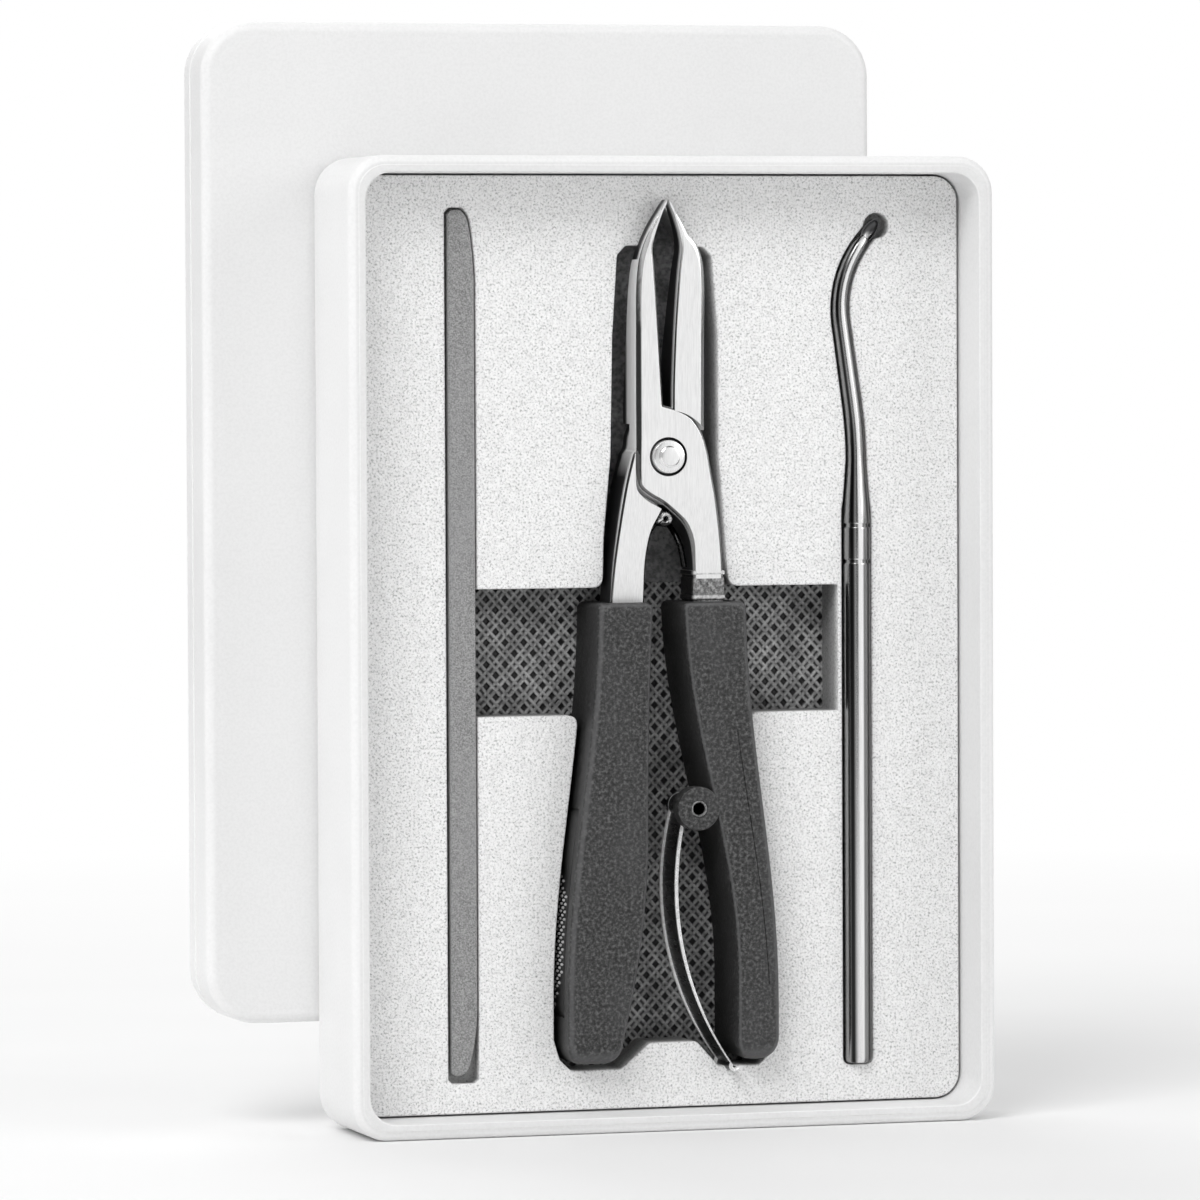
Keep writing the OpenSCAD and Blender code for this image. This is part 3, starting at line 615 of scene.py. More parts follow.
def handle_material():
    """Black moulded plastic with a spark-eroded texture and paler patches of wear, its ridges painted paler as
    highlight and painted shade darkening it towards the back.
    """
    p = Paint("handle_plastic").set(Roughness=0.5, IOR=1.5, Specular_IOR_Level=0.38)
    fine = p.noise(0.5, detail=4, rough=0.6)
    wear = p.noise(9, stretch=(1, 1, 0.4), detail=3)
    base = p.ramp(fine, [(0.34, 0.006), (0.5, 0.034), (0.66, 0.115)])
    paler_tone = p.mix(p.ramp(wear, [(0.45, 0.0), (0.7, 0.35)]), base, (0.065, 0.065, 0.067, 1))
    # painted highlight: the ridges between the front and the sides are paler
    ridge_highlight = p.ramp(p.facing("Y"), [(0.3, 0.0), (0.6, 0.6), (0.85, 0.6), (0.98, 0.0)])
    paler_tone = p.mix(ridge_highlight, paler_tone, (0.11, 0.11, 0.112, 1))
    # painted shade: darker further back, into the pocket of the right handle
    p.link(p.mix(p.ramp(p.along("Y", -7.6, 4.0), [(0.06, 0.0), (0.3, 0.45), (0.75, 0.88)]), paler_tone,
                 (0.006, 0.006, 0.006, 1)), "Base Color")
    p.link(p.ramp(fine, [(0.3, 0.42), (0.7, 0.62)]), "Roughness")
    p.bump(fine, 0.08, 0.75)
    return p.mat


def rubber_material(name, low, high, plain=0.03):
    """Rubber that is duller where the pad has no dots."""
    p = Paint(name).set(Roughness=0.62, IOR=1.5)
    dust = p.noise(1.4, detail=4)
    dotted = p.along("Z", pivot_z - 59, pivot_z - 62)
    p.link(p.mix(dotted, (plain, plain, plain, 1), p.ramp(dust, [(0.35, low), (0.7, high)])), "Base Color")
    p.bump(p.noise(0.25, detail=2), 0.03, 0.4)
    return p.mat


def lattice_material():
    """Dark embossed sheet, its raised ribs grading to grey at their crests as painted highlight."""
    p = Paint("lattice_sheet").set(Roughness=0.5, IOR=1.5)
    # painted highlight: grey rising from the ribs' foot to their crests on the near-black sheet
    ribs = p.ramp(p.along("Y", rib_foot, rib_crest), [(0.1, 0.004), (0.45, 0.05), (0.75, 0.2), (0.97, 0.62)])
    base = p.mix(p.along("Z", plain_low - 0.1, plain_low - 0.05), ribs, (0.36, 0.36, 0.365, 1))
    rub = p.times(p.ramp(p.noise(5, detail=3), [(0.35, 0.5), (0.65, 1.0)]),
                  p.ramp(p.noise(0.6, detail=3), [(0.35, 0.45), (0.62, 1.0)]))
    p.link(p.times(base, rub), "Base Color")
    p.bump(p.noise(0.3, detail=3), 0.03, 0.5)
    return p.mat


def board_material():
    p = Paint("backing_board").set(Roughness=0.8)
    fibre = p.noise(0.8, stretch=(1, 1, 0.2), detail=5)
    p.link(p.ramp(fibre, [(0.3, (0.3, 0.29, 0.28)), (0.7, (0.46, 0.45, 0.43))]), "Base Color")
    p.bump(fibre, 0.05, 0.5)
    return p.mat


def file_material():
    """Grey file face with fine crossing cuts."""
    p = Paint("file_steel").set(Metallic=0.55, Roughness=0.48)
    cloud = p.noise(7, stretch=(1, 1, 0.3), detail=3)
    grit = p.noise(0.22, detail=2)
    base = p.ramp(grit, [(0.3, 0.16), (0.7, 0.42)])
    p.link(p.mix(p.ramp(cloud, [(0.4, 0.0), (0.7, 0.4)]), base, (0.34, 0.34, 0.345, 1)), "Base Color")
    turned = p.node("ShaderNodeMapping", {"Vector": p.place, "Rotation": (0, math.radians(62), 0)})
    cuts = p.node("ShaderNodeTexWave", {"Vector": turned.outputs["Vector"], "Scale": 900.0, "Distortion": 0.4},
                  wave_type="BANDS", bands_direction="X")
    first = p.bump(cuts.outputs["Fac"], 0.03, 0.35)
    p.bump(grit, 0.03, 0.5, after=first)
    return p.mat


# Case


def shell_rings(w, h, r, profile, cx, cz):
    """Rings of a rounded rectangle, one for each (inset, y) of the profile."""
    rings = []
    for inset, y in profile:
        outline = round_rect(w - 2 * inset, h - 2 * inset, max(inner_r, r - inset))
        rings.append([(x + cx, y, z + cz) for x, z in outline])
    return rings


def arc(cx, cy, r, start, end, steps=5):
    """Points (inset, y) on an arc, angles in degrees."""
    out = []
    for k in range(steps + 1):
        a = math.radians(start + (end - start) * k / steps)
        out.append((cx + r * math.cos(a), cy + r * math.sin(a)))
    return out


def make_tray(material):
    """Tray: rounded edges, a narrow raised lip round its mouth and a small fillet round its floor."""
    w = tray_high[0] - tray_low[0]
    h = tray_high[2] - tray_low[2]
    front, back = tray_low[1], tray_high[1]
    rim_out, rim_in, foot, lip = 1.4, 0.25, 0.5, 0.12
    floor = back - case_back
    profile = arc(edge_r, back - edge_r, edge_r, 90, 180)
    profile += arc(rim_out, front + lip + rim_out, rim_out, 180, 270, 8)
    profile += [(rim_out + 0.04, front + 0.5 * lip), (rim_out + 0.14, front)]
    profile += arc(case_wall - rim_in, front + rim_in, rim_in, 270, 360)
    profile += arc(case_wall + foot, floor - foot, foot, 180, 90)
    bm = bmesh.new()
    loft(bm, shell_rings(w, h, case_r, profile, 0, h / 2))
    finished(new_object("tray_shell", bm), "case", material, ["base_tray"])


def make_lid(material):
    """Lid: soft face edge, a fine step line on the face and an open back."""
    w = lid_high[0] - lid_low[0]
    h = lid_high[2] - lid_low[2]
    cx = (lid_low[0] + lid_high[0]) / 2
    cz = (lid_low[2] + lid_high[2]) / 2
    face, open_end = lid_low[1], lid_high[1]
    rim = 0.5
    step = 0.12
    profile = [(edge_r + 1.4, face), (edge_r + 0.6, face), (edge_r + 0.4, face + step / 2)]
    profile += arc(edge_r, face + edge_r, edge_r, 270, 180, 8)
    profile += [(d, open_end - y) for d, y in ((0, 4.3), (0.14, 4.2), (0.14, 3.8), (0, 3.7))]
    profile += arc(rim, open_end - rim, rim, 180, 90)
    profile += arc(lid_wall - rim, open_end - rim, rim, 90, 0)
    profile += arc(lid_wall + 0.9, face + lid_wall + 0.9, 0.9, 180, 270)
    bm = bmesh.new()
    loft(bm, shell_rings(w, h, lid_r, profile, cx, cz))
    finished(new_object("lid_shell", bm), "lid", material, ["lid"])


# Insert

rib_foot = sheet_low[1] + 0.3
rib_crest = sheet_low[1] + 0.02
lattice_x = 2.92
lattice_z = 3.26
plain_low = notch_z + notch_h / 2 + 0.5


def outer_x(d):
    """Outer side of a handle from the middle line, at depth d below the pivot."""
    t = min(1, max(0, (d - handle_top) / 60))
    return 11.6 + (16.5 - 11.6) * (1 - math.cos(math.pi * t)) / 2


def inner_x(d):
    """Inner side of a handle from the middle line, at depth d below the pivot."""
    u = (d - 55.5) / (handle_end - 55.5)
    return 3.9 + 5 * u * u if u > 0 else 3.9 - 0.9 * u * u


def front_edge_x(d):
    """Inner edge of the right handle's front, beside the latch."""
    t = min(1, max(0, (d - 24) / (78 - 24)))
    return inner_x(min(d, 55.5)) - 1.4 + 7.4 * (1 - math.cos(math.pi * t)) / 2


def nipper_hole():
    """Cut-out of the nipper with the finger notch, about the pivot."""
    room, low = 0.8, handle_end + 1.2
    top, bottom = notch_z + notch_h / 2 - pivot_z, notch_z - notch_h / 2 - pivot_z
    notch_right = tool_x - 3.0 - pivot_x
    notch_left = -tool_x + 2.6 - pivot_x - 0.05
    depths = [-bottom + (handle_end - 3.4 + bottom) * i / 14 for i in range(15)]
    right = [(6.4, 31.3), (7.8, 29.9), (8.7, 18), (8.8, 0), (9.7, -12), (10.2, top)]
    right += [(notch_right, top), (notch_right, bottom)]
    right += [(outer_x(d) + room, -d) for d in depths]
    right += [(16.4, -handle_end + 0.4), (14.7, -low), (8.4, -low), (5.0, -low + 3.8)]
    left = [(-2.4, -low + 3.8), (-7, -low), (-14.7, -low), (-16.4, -handle_end + 0.4)]
    left += [(-outer_x(d) - room, -d) for d in depths[::-1]]
    left += [(notch_left, bottom), (notch_left, top)]
    left += [(-9.4, top), (-9.2, -12), (-8.1, 0), (-7.75, 18), (-6.95, 30.1), (-5.6, 31.5)]
    points = right + left
    radii = []
    for x, z in points:
        at_notch = abs(z - top) < 0.01 or abs(z - bottom) < 0.01
        radii.append(1.6 if at_notch and abs(x) < 15 else 0 if at_notch else 1.0)
    return shifted(rounded(points, radii, 5), pivot_x, pivot_z)


def beak_slit():
    """Narrow slit in the foam under the closed beak."""
    return shifted(closed([(-1.5, 29.0), (-1.45, 31.6), (-0.6, 34.8), (0.55, 37.4)],
                          [(0.55, 37.4), (1.9, 35.7), (3.4, 33.2), (4.5, 31.6), (5.3, 29.0)],
                          [(5.3, 29.0), (-1.5, 29.0)]),
                   pivot_x, pivot_z)


def spoon_path():
    """Middle line of the spoon's neck above its collar, with the radius there."""
    bend_z = collar_high[2] + 9.6
    lean, bow = math.radians(8), math.radians(45)
    path = [(tool_x, collar_high[2], 2.1), (tool_x, collar_high[2] + 3.2, 1.9),
            (tool_x, collar_high[2] + 6.4, 1.62)]
    for i in range(5):
        a = lean * i / 4
        path.append((tool_x - 60 * (1 - math.cos(a)), bend_z + 60 * math.sin(a), 1.4 - 0.01 * i))
    x, z, r = path[-1]
    for i in range(1, 4):
        path.append((x - 12.4 * i / 4 * math.sin(lean), z + 12.4 * i / 4 * math.cos(lean), r - 0.02 * i))
    tx, tz = x - 12.4 * math.sin(lean), z + 12.4 * math.cos(lean)
    cx, cz = tx + 16 * math.cos(lean), tz + 16 * math.sin(lean)
    for i in range(11):
        a = -lean + (bow + lean) * i / 10
        path.append((cx - 16 * math.cos(a), cz + 16 * math.sin(a), 1.3 - 0.02 * i))
    return path


def spoon_hole():
    """Outline of the spoon's groove."""
    half, room = 2.35, 0.25
    neck = [p for p in spoon_path() if p[1] > collar_high[2] + 3]
    left, right = [], []
    for i, (x, z, r) in enumerate(neck):
        a, b = neck[max(0, i - 1)], neck[min(len(neck) - 1, i + 1)]
        length = math.hypot(b[0] - a[0], b[1] - a[1])
        nx, nz = -(b[1] - a[1]) / length, (b[0] - a[0]) / length
        wide = r + room
        left.append((x + nx * wide, z + nz * wide))
        right.append((x - nx * wide, z - nz * wide))
    x, z, r = neck[-1]
    tip = [(x + 1.05 + 2 * math.cos(a), z + 1.05 + 2 * math.sin(a))
           for a in [math.radians(v) for v in range(170, -80, -25)]]
    low = rod_low[2] - room
    points = [(tool_x - half, low), (tool_x - half, neck[0][1] - 1)] + left + tip
    points += right[::-1] + [(tool_x + half, neck[0][1] - 1), (tool_x + half, low)]
    radii = [1.2, 0.5] + [0] * (len(left) + len(tip) + len(right)) + [0.5, 1.2]
    return rounded(points, radii, 4)


def file_outline(room=0.0, square_end=False):
    """The file: straight on its left, its right side drawn in towards both ends."""
    low_end = file_low[2] - (1.2 if square_end else 0.0)
    top_end = file_high[2] - 0.8 + room
    w, h = (file_high[0] - file_low[0]) / 2 - 0.25 + room, (top_end - low_end) / 2
    top = [(w, h - 10), (w - 0.3, h - 6), (w - 0.75, h - 2.6), (w - 1.25, h - 0.9), (w - 2.1, h)]
    low = [(1.2 - w, -h), (0.35, 0.5 - h), (w - 0.9, 2.6 - h), (w - 0.25, 6.2 - h), (w, 9.5 - h)]
    runs = [top, [(w - 2.1, h), (0.7 - w, h)], [(0.7 - w, h), (-w, h - 0.7)], [(-w, h - 0.7), (-w, 0.6 - h)]]
    if square_end:
        runs += [[(-w, 0.6 - h), (0.6 - w, -h)], [(0.6 - w, -h), (w - 0.6, -h)], [(w - 0.6, -h), (w, 0.6 - h)],
                 [(w, 0.6 - h), (w, h - 10)]]
    else:
        runs += [[(-w, 0.6 - h), (-w + 0.4, 0.1 - h), (1.2 - w, -h)], low, [(w, 9.5 - h), (w, h - 10)]]
    return shifted(closed(*runs), 0.2 - tool_x, (top_end + low_end) / 2)


def make_foam(material):
    """Die-cut foam plate: through cut for the nipper, grooves for file and spoon."""
    w = foam_high[0] - foam_low[0]
    h = foam_high[2] - foam_low[2]
    cz = (foam_low[2] + foam_high[2]) / 2
    front, back = foam_low[1], foam_high[1]
    bm = bmesh.new()
    plate(bm, shifted(round_rect(w - 0.5, h - 0.36, inner_r - 0.3), 0, cz), front, back, 0.3)
    sliced(bm, [14, 22, 40, 55, 71, 90, 108, 125, 136])
    foam = new_object("foam_plate", bm)
    past = 2
    cuts = [
        (nipper_hole(), back + past),
        (beak_slit(), back + past),
        (file_outline(0.3, square_end=True), file_high[1] + 1.2),
        (spoon_hole(), spoon_y + 2.4),
    ]
    for outline, floor in cuts:
        bm = bmesh.new()
        plate(bm, outline, front - past, floor, 0.0, 0.0, steps=1)
        combine(foam, new_object("cutter", bm))
    lips = foam.modifiers.new("lips", "BEVEL")
    lips.width = 0.24 * MM
    lips.segments = 3
    lips.limit_method = "ANGLE"
    lips.angle_limit = math.radians(50)
    lips.use_clamp_overlap = False
    bake(foam)
    finished(foam, "case", material, ["foam_insert"], sharp=50)


def rib(bm, a, b, half=0.84):
    """One embossed rib with two crests along the line from a to b."""
    ax, az = a
    bx, bz = b
    length = math.hypot(bx - ax, bz - az)
    nx, nz = -(bz - az) / length, (bx - ax) / length
    depth = rib_foot - rib_crest
    shape = [(-half, -0.3), (-half, 0), (-half + 0.2, 0.85), (-half + 0.36, 1), (-0.2, 0.85), (-0.07, 0.5),
             (0.07, 0.5), (0.2, 0.85), (half - 0.36, 1), (half - 0.2, 0.85), (half, 0), (half, -0.3)]
    rings = [[(x + nx * s, rib_foot - depth * up, z + nz * s) for s, up in shape] for x, z in (a, b)]
    loft(bm, rings)


def clip_line(point, direction, low, high):
    """Ends of a line inside a box, or None."""
    start, end = -1e9, 1e9
    for p, d, lo, hi in zip(point, direction, low, high):
        t0, t1 = sorted(((lo - p) / d, (hi - p) / d))
        start, end = max(start, t0), min(end, t1)
    if end - start < 1:
        return None
    return [tuple(p + d * t for p, d in zip(point, direction)) for t in (start, end)]


def make_lattice(material):
    """Sheet under the foam: plain at its top, with two crossing families of double ribs below."""
    w = sheet_high[0] - sheet_low[0]
    h = sheet_high[2] - sheet_low[2]
    cz = (sheet_low[2] + sheet_high[2]) / 2
    bm = bmesh.new()
    plate(bm, shifted(round_rect(w, h, 2.9), 0, cz), rib_foot, sheet_high[1], 0.05, steps=1)
    plain = [(1 - w / 2, plain_low), (w / 2 - 1, plain_low), (w / 2 - 1, cz + h / 2 - 1), (1 - w / 2, cz + h / 2 - 1)]
    plate(bm, plain, rib_crest - 0.01, rib_foot + 0.1, 0.03, steps=1)
    length = math.hypot(lattice_x, lattice_z)
    reach = int((w + h) / lattice_x)
    for lean in (-1, 1):
        direction = (lattice_x / length, lean * lattice_z / length)
        for i in range(-reach, reach + 1):
            ends = clip_line((i * lattice_x, cz), direction, (-w / 2 + 1, cz - h / 2 + 1),
                             (w / 2 - 1, plain_low + 0.6))
            if ends:
                rib(bm, *ends)
    finished(new_object("lattice_emboss", bm), "case", material, ["lattice_sheet"],
             sharp=25, weighted=False)


# Nipper

# Depth of the levers' front and back faces from their middle plane, by height
jaw_front = [(-40, -3.0), (-handle_top, -3.0), (-11, -3.75), (-6, -4.0), (19.0, -4.0), (38.3, -4.4)]
jaw_back = [(-40, 3.0), (-12, 3.0), (-10, 4.0), (7.8, 4.0), (38.3, -1.4)]


def along(table, z):
    """Value at z on a broken line of (z, value) points."""
    return float(np.interp(z, [p[0] for p in table], [p[1] for p in table]))


def bent_to_side(bm):
    """Moves a lever blank's front and back to the side outline of the nipper."""
    for v in bm.verts:
        share = (v.co.y + 4.0) / 8.0
        front, back = along(jaw_front, v.co.z), along(jaw_back, v.co.z)
        v.co.y = front + (back - front) * share


# A flat ground bevel whose two edges are a little rounded
ground_rim = [(1.0, 0.0), (0.86, 0.03), (0.72, 0.14), (0.14, 0.72), (0.03, 0.86), (0.0, 1.0)]


def front_bevel(x, z):
    """Width of the front lever's bevel: broad along the jaw's left side and the S-shaped edge."""
    wide = 0.85 if x < -3.0 and z > -3.5 else 0.6 if z < -3 and x < 3.9 else 0.4
    return min(wide, 0.12 + 0.13 * max(0, 38.3 - z))


def rear_bevel(x, z):
    wide = 0.75 if x > 3.1 and z > 0 else 0.4 if x < -4.4 else 0.3
    return min(wide, 0.12 + 0.13 * max(0, 38.3 - z))


def lever(name, outline, bevel, seat, cut_from, cut_to, body, material, node):
    """A forged lever: bevelled blank, thinned to the beak, with its half-round seat."""
    bm = bmesh.new()
    plate(bm, outline, -metal_t / 2, metal_t / 2, bevel, rim=ground_rim)
    sliced(bm, [-handle_top, -12, -11, -10, -6, 7.8] + [19 + 2.1 * i for i in range(9)])
    bent_to_side(bm)
    bm.transform(Matrix.Translation((pivot_x, nip_y, pivot_z)))
    obj = new_object(name, bm)
    bm = bmesh.new()
    plate(bm, shifted(seat, pivot_x, pivot_z), nip_y + cut_from, nip_y + cut_to, 0.0, 0.0, steps=1)
    combine(obj, new_object("cutter", bm))
    if cut_from > -metal_t:
        bm = bmesh.new()
        lathe(bm, [(2.92, -metal_t / 2 - 1), (2.92, -metal_t / 2 + 1.3), (1.7, -metal_t / 2 + 1.3),
                   (1.7, metal_t)], (pivot_x, nip_y, pivot_z), count=56)
        combine(obj, new_object("cutter", bm))
    return finished(obj, body, material, [node], sharp=35)


def make_levers(material):
    front = closed(
        [(-0.1, 38.3), (-2.2, 34.9), (-3.55, 32.2), (-4.45, 29.4), (-4.85, 25.6), (-4.9, 20)],
        [(-4.9, 20), (-4.9, 3)],
        [(-4.9, 3), (-4.9, -2.6), (-4.5, -4.4), (-3.0, -5.75), (-1.0, -6.9), (0.9, -8.4), (2.6, -10.1),
         (3.6, -12.4), (4.05, -16), (4.2, -handle_top - 1)],
        [(4.2, -handle_top - 1), (8.7, -handle_top - 1)],
        [(8.7, -handle_top - 1), (8.6, -16), (7.75, -8.2), (6.7, -2.2), (6.1, 1.0), (5.2, 3.7), (3.6, 5.9),
         (1.6, 7.0), (-0.75, 7.7)],
        [(-0.75, 7.7), (-0.95, 11), (-1.5, 20), (-2.1, 28), (-2.35, 31.2), (-2.0, 33.0), (-1.2, 35.4),
         (-0.1, 38.3)],
    )
    rear = closed(
        [(0.1, 38.3), (1.7, 35.5), (3.2, 33.0)],
        [(3.2, 33.0), (4.5, 31.6), (5.4, 29.4), (5.75, 26), (5.75, 18)],
        [(5.75, 18), (5.7, 3.2)],
        [(5.7, 3.2), (6.75, 0.8), (6.4, -2.4), (4.8, -4.8), (2.4, -6.35), (0.2, -6.8), (-0.6, -7.3)],
        [(-0.6, -7.3), (-1.3, -8.7), (-2.5, -11.0), (-3.35, -15.0), (-3.6, -handle_top - 1)],
        [(-3.6, -handle_top - 1), (-8.9, -handle_top - 1)],
        [(-8.9, -handle_top - 1), (-8.4, -16), (-7.4, -8.5), (-6.6, -4), (-5.5, 0.4)],
        [(-5.5, 0.4), (-4.95, 1.2), (-4.7, 3.0), (-3.9, 4.8), (-2.6, 6.2), (0.75, 6.9)],
        [(0.75, 6.9), (0.8, 11), (1.2, 20), (1.8, 28), (2.15, 31.2), (1.9, 33.0), (1.2, 35.4), (0.1, 38.3)],
    )
    seat = circle(lap_r + lap_gap, 72)
    turns = [math.radians(v) for v in range(-68, 140, 4)]
    round_part = [((lap_r + lap_gap) * math.cos(a), (lap_r + lap_gap) * math.sin(a)) for a in turns]
    s_edge = smooth_run([(-5.1, 1.5), (-5.12, -2.8), (-4.85, -5.0), (-3.3, -6.55), (-1.3, -7.65), (0.5, -8.9)])
    gap = round_part + s_edge + [(2.4, -8.9)]
    lever("front_forging", front, front_bevel, seat, -lap_gap / 2, metal_t, "right_arm", material, "front_lever")
    lever("rear_forging", rear, rear_bevel, gap, -metal_t, lap_gap / 2, "left_arm", material, "rear_lever")


def make_shoulder(material):
    """Rough block with two ribs round the right shank above its handle."""
    bm = bmesh.new()
    steps = [(-17.0, 0.02), (-17.08, 0.2), (-17.2, 0.3), (-17.65, 0.3), (-17.8, 0.1), (-18.05, 0.1), (-18.2, 0.24),
             (-20.55, 0.26), (-20.7, 0.16), (-20.85, 0.32), (-21.35, 0.34), (-21.5, 0.1), (-21.69, 0.1)]
    rings = []
    for z, out in steps:
        ring = shifted(round_rect(4.5 + 2 * out, 6.0 + 2 * out, 0.35, 4), pivot_x + 6.45, nip_y)
        rings.append([(x, y, pivot_z + z) for x, y in ring])
    loft(bm, rings)
    finished(new_object("shank_shoulder", bm), "right_arm", material)


def make_rivet(material):
    """Domed rivet with a turned bevel, and the ring it is closed over."""
    front = nip_y - metal_t / 2 - lap_gap
    back = nip_y + metal_t / 2 + lap_gap
    centre = (pivot_x, front, pivot_z)
    bm = bmesh.new()
    lathe(bm, [(0, -0.7), (0.8, -0.69), (1.3, -0.66), (1.4, -0.62), (1.62, -0.4), (1.74, -0.38),
               (2.2, -0.34), (2.4, -0.24), (2.47, -0.05), (2.47, 1.2), (1.6, 1.3), (1.6, back - front + 0.55),
               (1.45, back - front + 0.69), (0, back - front + 0.7)], centre)
    for v in bm.verts:
        if v.co.y < front - 0.6:
            v.co.x += 0.12
            v.co.z += 0.06
    finished(new_object("rivet_dome", bm), "nipper_pivot", material, ["pivot_rivet"])
    bm = bmesh.new()
    lathe(bm, [(1.62, 0.0), (2.6, 0.0), (2.7, 0.1), (2.7, 0.45), (2.6, 0.62), (2.4, 0.7), (1.75, 0.7),
               (1.62, 0.6), (1.62, 0.0)], (pivot_x, back, pivot_z))
    finished(new_object("rivet_ring", bm), "nipper_pivot", material, ["rivet_collar"])


def section(x0, x1, y0, y1, r_out, r_in, crown=0.12):
    """Section of a handle: a rounded rectangle with lightly crowned sides."""
    out = []
    corners = [(x1, y1, r_out, 0), (x0, y1, r_in, 90), (x0, y0, r_in, 180), (x1, y0, r_out, 270)]
    cx, cy = (x0 + x1) / 2, (y0 + y1) / 2
    for x, y, r, start in corners:
        r = min(r, (x1 - x0) / 2 - 0.05, (y1 - y0) / 2 - 0.05)
        ax = x - math.copysign(r, x - cx)
        ay = y - math.copysign(r, y - cy)
        for k in range(6):
            a = math.radians(start + 18 * k)
            out.append((ax + r * math.cos(a), ay + r * math.sin(a)))
    crowned = []
    for x, y in out:
        tx = (x - cx) / max(0.1, (x1 - x0) / 2)
        ty = (y - cy) / max(0.1, (y1 - y0) / 2)
        crowned.append((x - crown * abs(ty) ** 2 * math.copysign(1, tx) * 0.5, y - crown * abs(tx) ** 2
                        * math.copysign(1, ty) * 0.5))
    return crowned


def handle_rings(x_in, y0, y1, r_out, r_in, buried=0.0):
    """Rings of a handle on the right side, from its top to its rounded lower end.

    A part that is joined to another has its outer side drawn in by buried, and its ends lie inside the other.
    """
    body_end = handle_end - 3.4
    steps = 26
    rows = [(handle_top, 0.7, 0.7), (handle_top + 0.25, 0.25, 0.3), (handle_top + 0.8, 0, 0)]
    rows += [(handle_top + 0.8 + (body_end - handle_top - 0.8) * i / steps, 0, 0) for i in range(1, steps + 1)]
    for t in (0.2, 0.4, 0.58, 0.74, 0.87, 0.96, 1.0):
        pull = 1 - math.sqrt(1 - t * t)
        rows.append((body_end + 3.4 * t, pull * 2.4, pull * 2.6))
    rings = []
    for d, draw, shrink in rows:
        at = min(d, body_end)
        x0, x1 = x_in(at) + draw, outer_x(at) - draw - buried
        inset = min(shrink, (y1 - y0) * 0.3)
        if buried:
            d = min(max(d, handle_top + 1.2), handle_end - 0.05)
        rings.append([(x, y, -d) for x, y in section(x0, x1, y0 + inset, y1 - inset, r_out, r_in)])
    return rings


def grip_hollow(side):
    """Cutter of the hollow under a grip pad."""
    bm = bmesh.new()
    low, top = handle_end - 6.95, handle_end - 38.05
    depths = [top + (low - top) * i / 10 for i in range(11)]
    outline = [(outer_x(d) + 1, -d) for d in depths] + [(outer_x(d) - 1.4, -d) for d in depths[::-1]]
    outline = outline if side > 0 else mirrored(outline)
    plate(bm, shifted(outline, pivot_x, pivot_z), nip_y - 3.55, nip_y + 3.55, 0.0, 0.0, steps=1)
    return new_object("cutter", bm)


def placed(bm, side):
    """Mirrors a right-hand form for the left, and moves it to the nipper."""
    if side < 0:
        bm.transform(Matrix.Scale(-1, 4, (1, 0, 0)))
    bm.transform(Matrix.Translation((pivot_x, nip_y, pivot_z)))


def make_handles(material):
    half = handle_t / 2
    bm = bmesh.new()
    loft(bm, handle_rings(inner_x, -half, half, 1.1, 0.7))
    placed(bm, -1)
    left = new_object("left_handle_shell", bm)
    combine(left, grip_hollow(-1))
    finished(left, "left_arm", material, ["left_handle"], sharp=42)

    bm = bmesh.new()
    loft(bm, handle_rings(front_edge_x, -half, half, 1.1, 0.6))
    placed(bm, 1)
    right = new_object("right_handle_shell", bm)
    bm = bmesh.new()
    web = handle_rings(lambda d: inner_x(d) - 1.35, half - 2.5, half - 0.03, 0.5, 0.7, buried=2.5)
    loft(bm, web)
    placed(bm, 1)
    combine(right, new_object("web", bm), "UNION")
    bm = bmesh.new()
    lathe(bm, [(3.0, -half), (3.22, -half + 0.1), (3.3, -half + 0.35), (3.3, -half + 2.6), (3.1, -half + 2.9)],
          (boss_x, 0, boss_z), count=56)
    placed(bm, 1)
    combine(right, new_object("boss", bm), "UNION")
    bm = bmesh.new()
    lathe(bm, [(1.32, -half - 1), (1.32, half + 1)], (boss_x, 0, boss_z), count=40)
    placed(bm, 1)
    combine(right, new_object("bore", bm))
    combine(right, grip_hollow(1))
    combine(right, parting_groove())
    finished(right, "right_arm", material, ["right_handle"], sharp=42)


def parting_groove():
    """Thin wedge along the right handle's front, where its two halves meet."""
    bm = bmesh.new()
    depths = [41 + 38 * i / 18 for i in range(19)]
    width, deep = 0.16, 0.3
    rings = []
    for d in depths:
        x = outer_x(d) - 2.9 + 1.1 * (d - 41) / 38
        y = -handle_t / 2
        rings.append([(x - width, y - 0.4, -d), (x + width, y - 0.4, -d), (x, y + deep, -d)])
    loft(bm, rings)
    placed(bm, 1)
    return new_object("groove", bm)


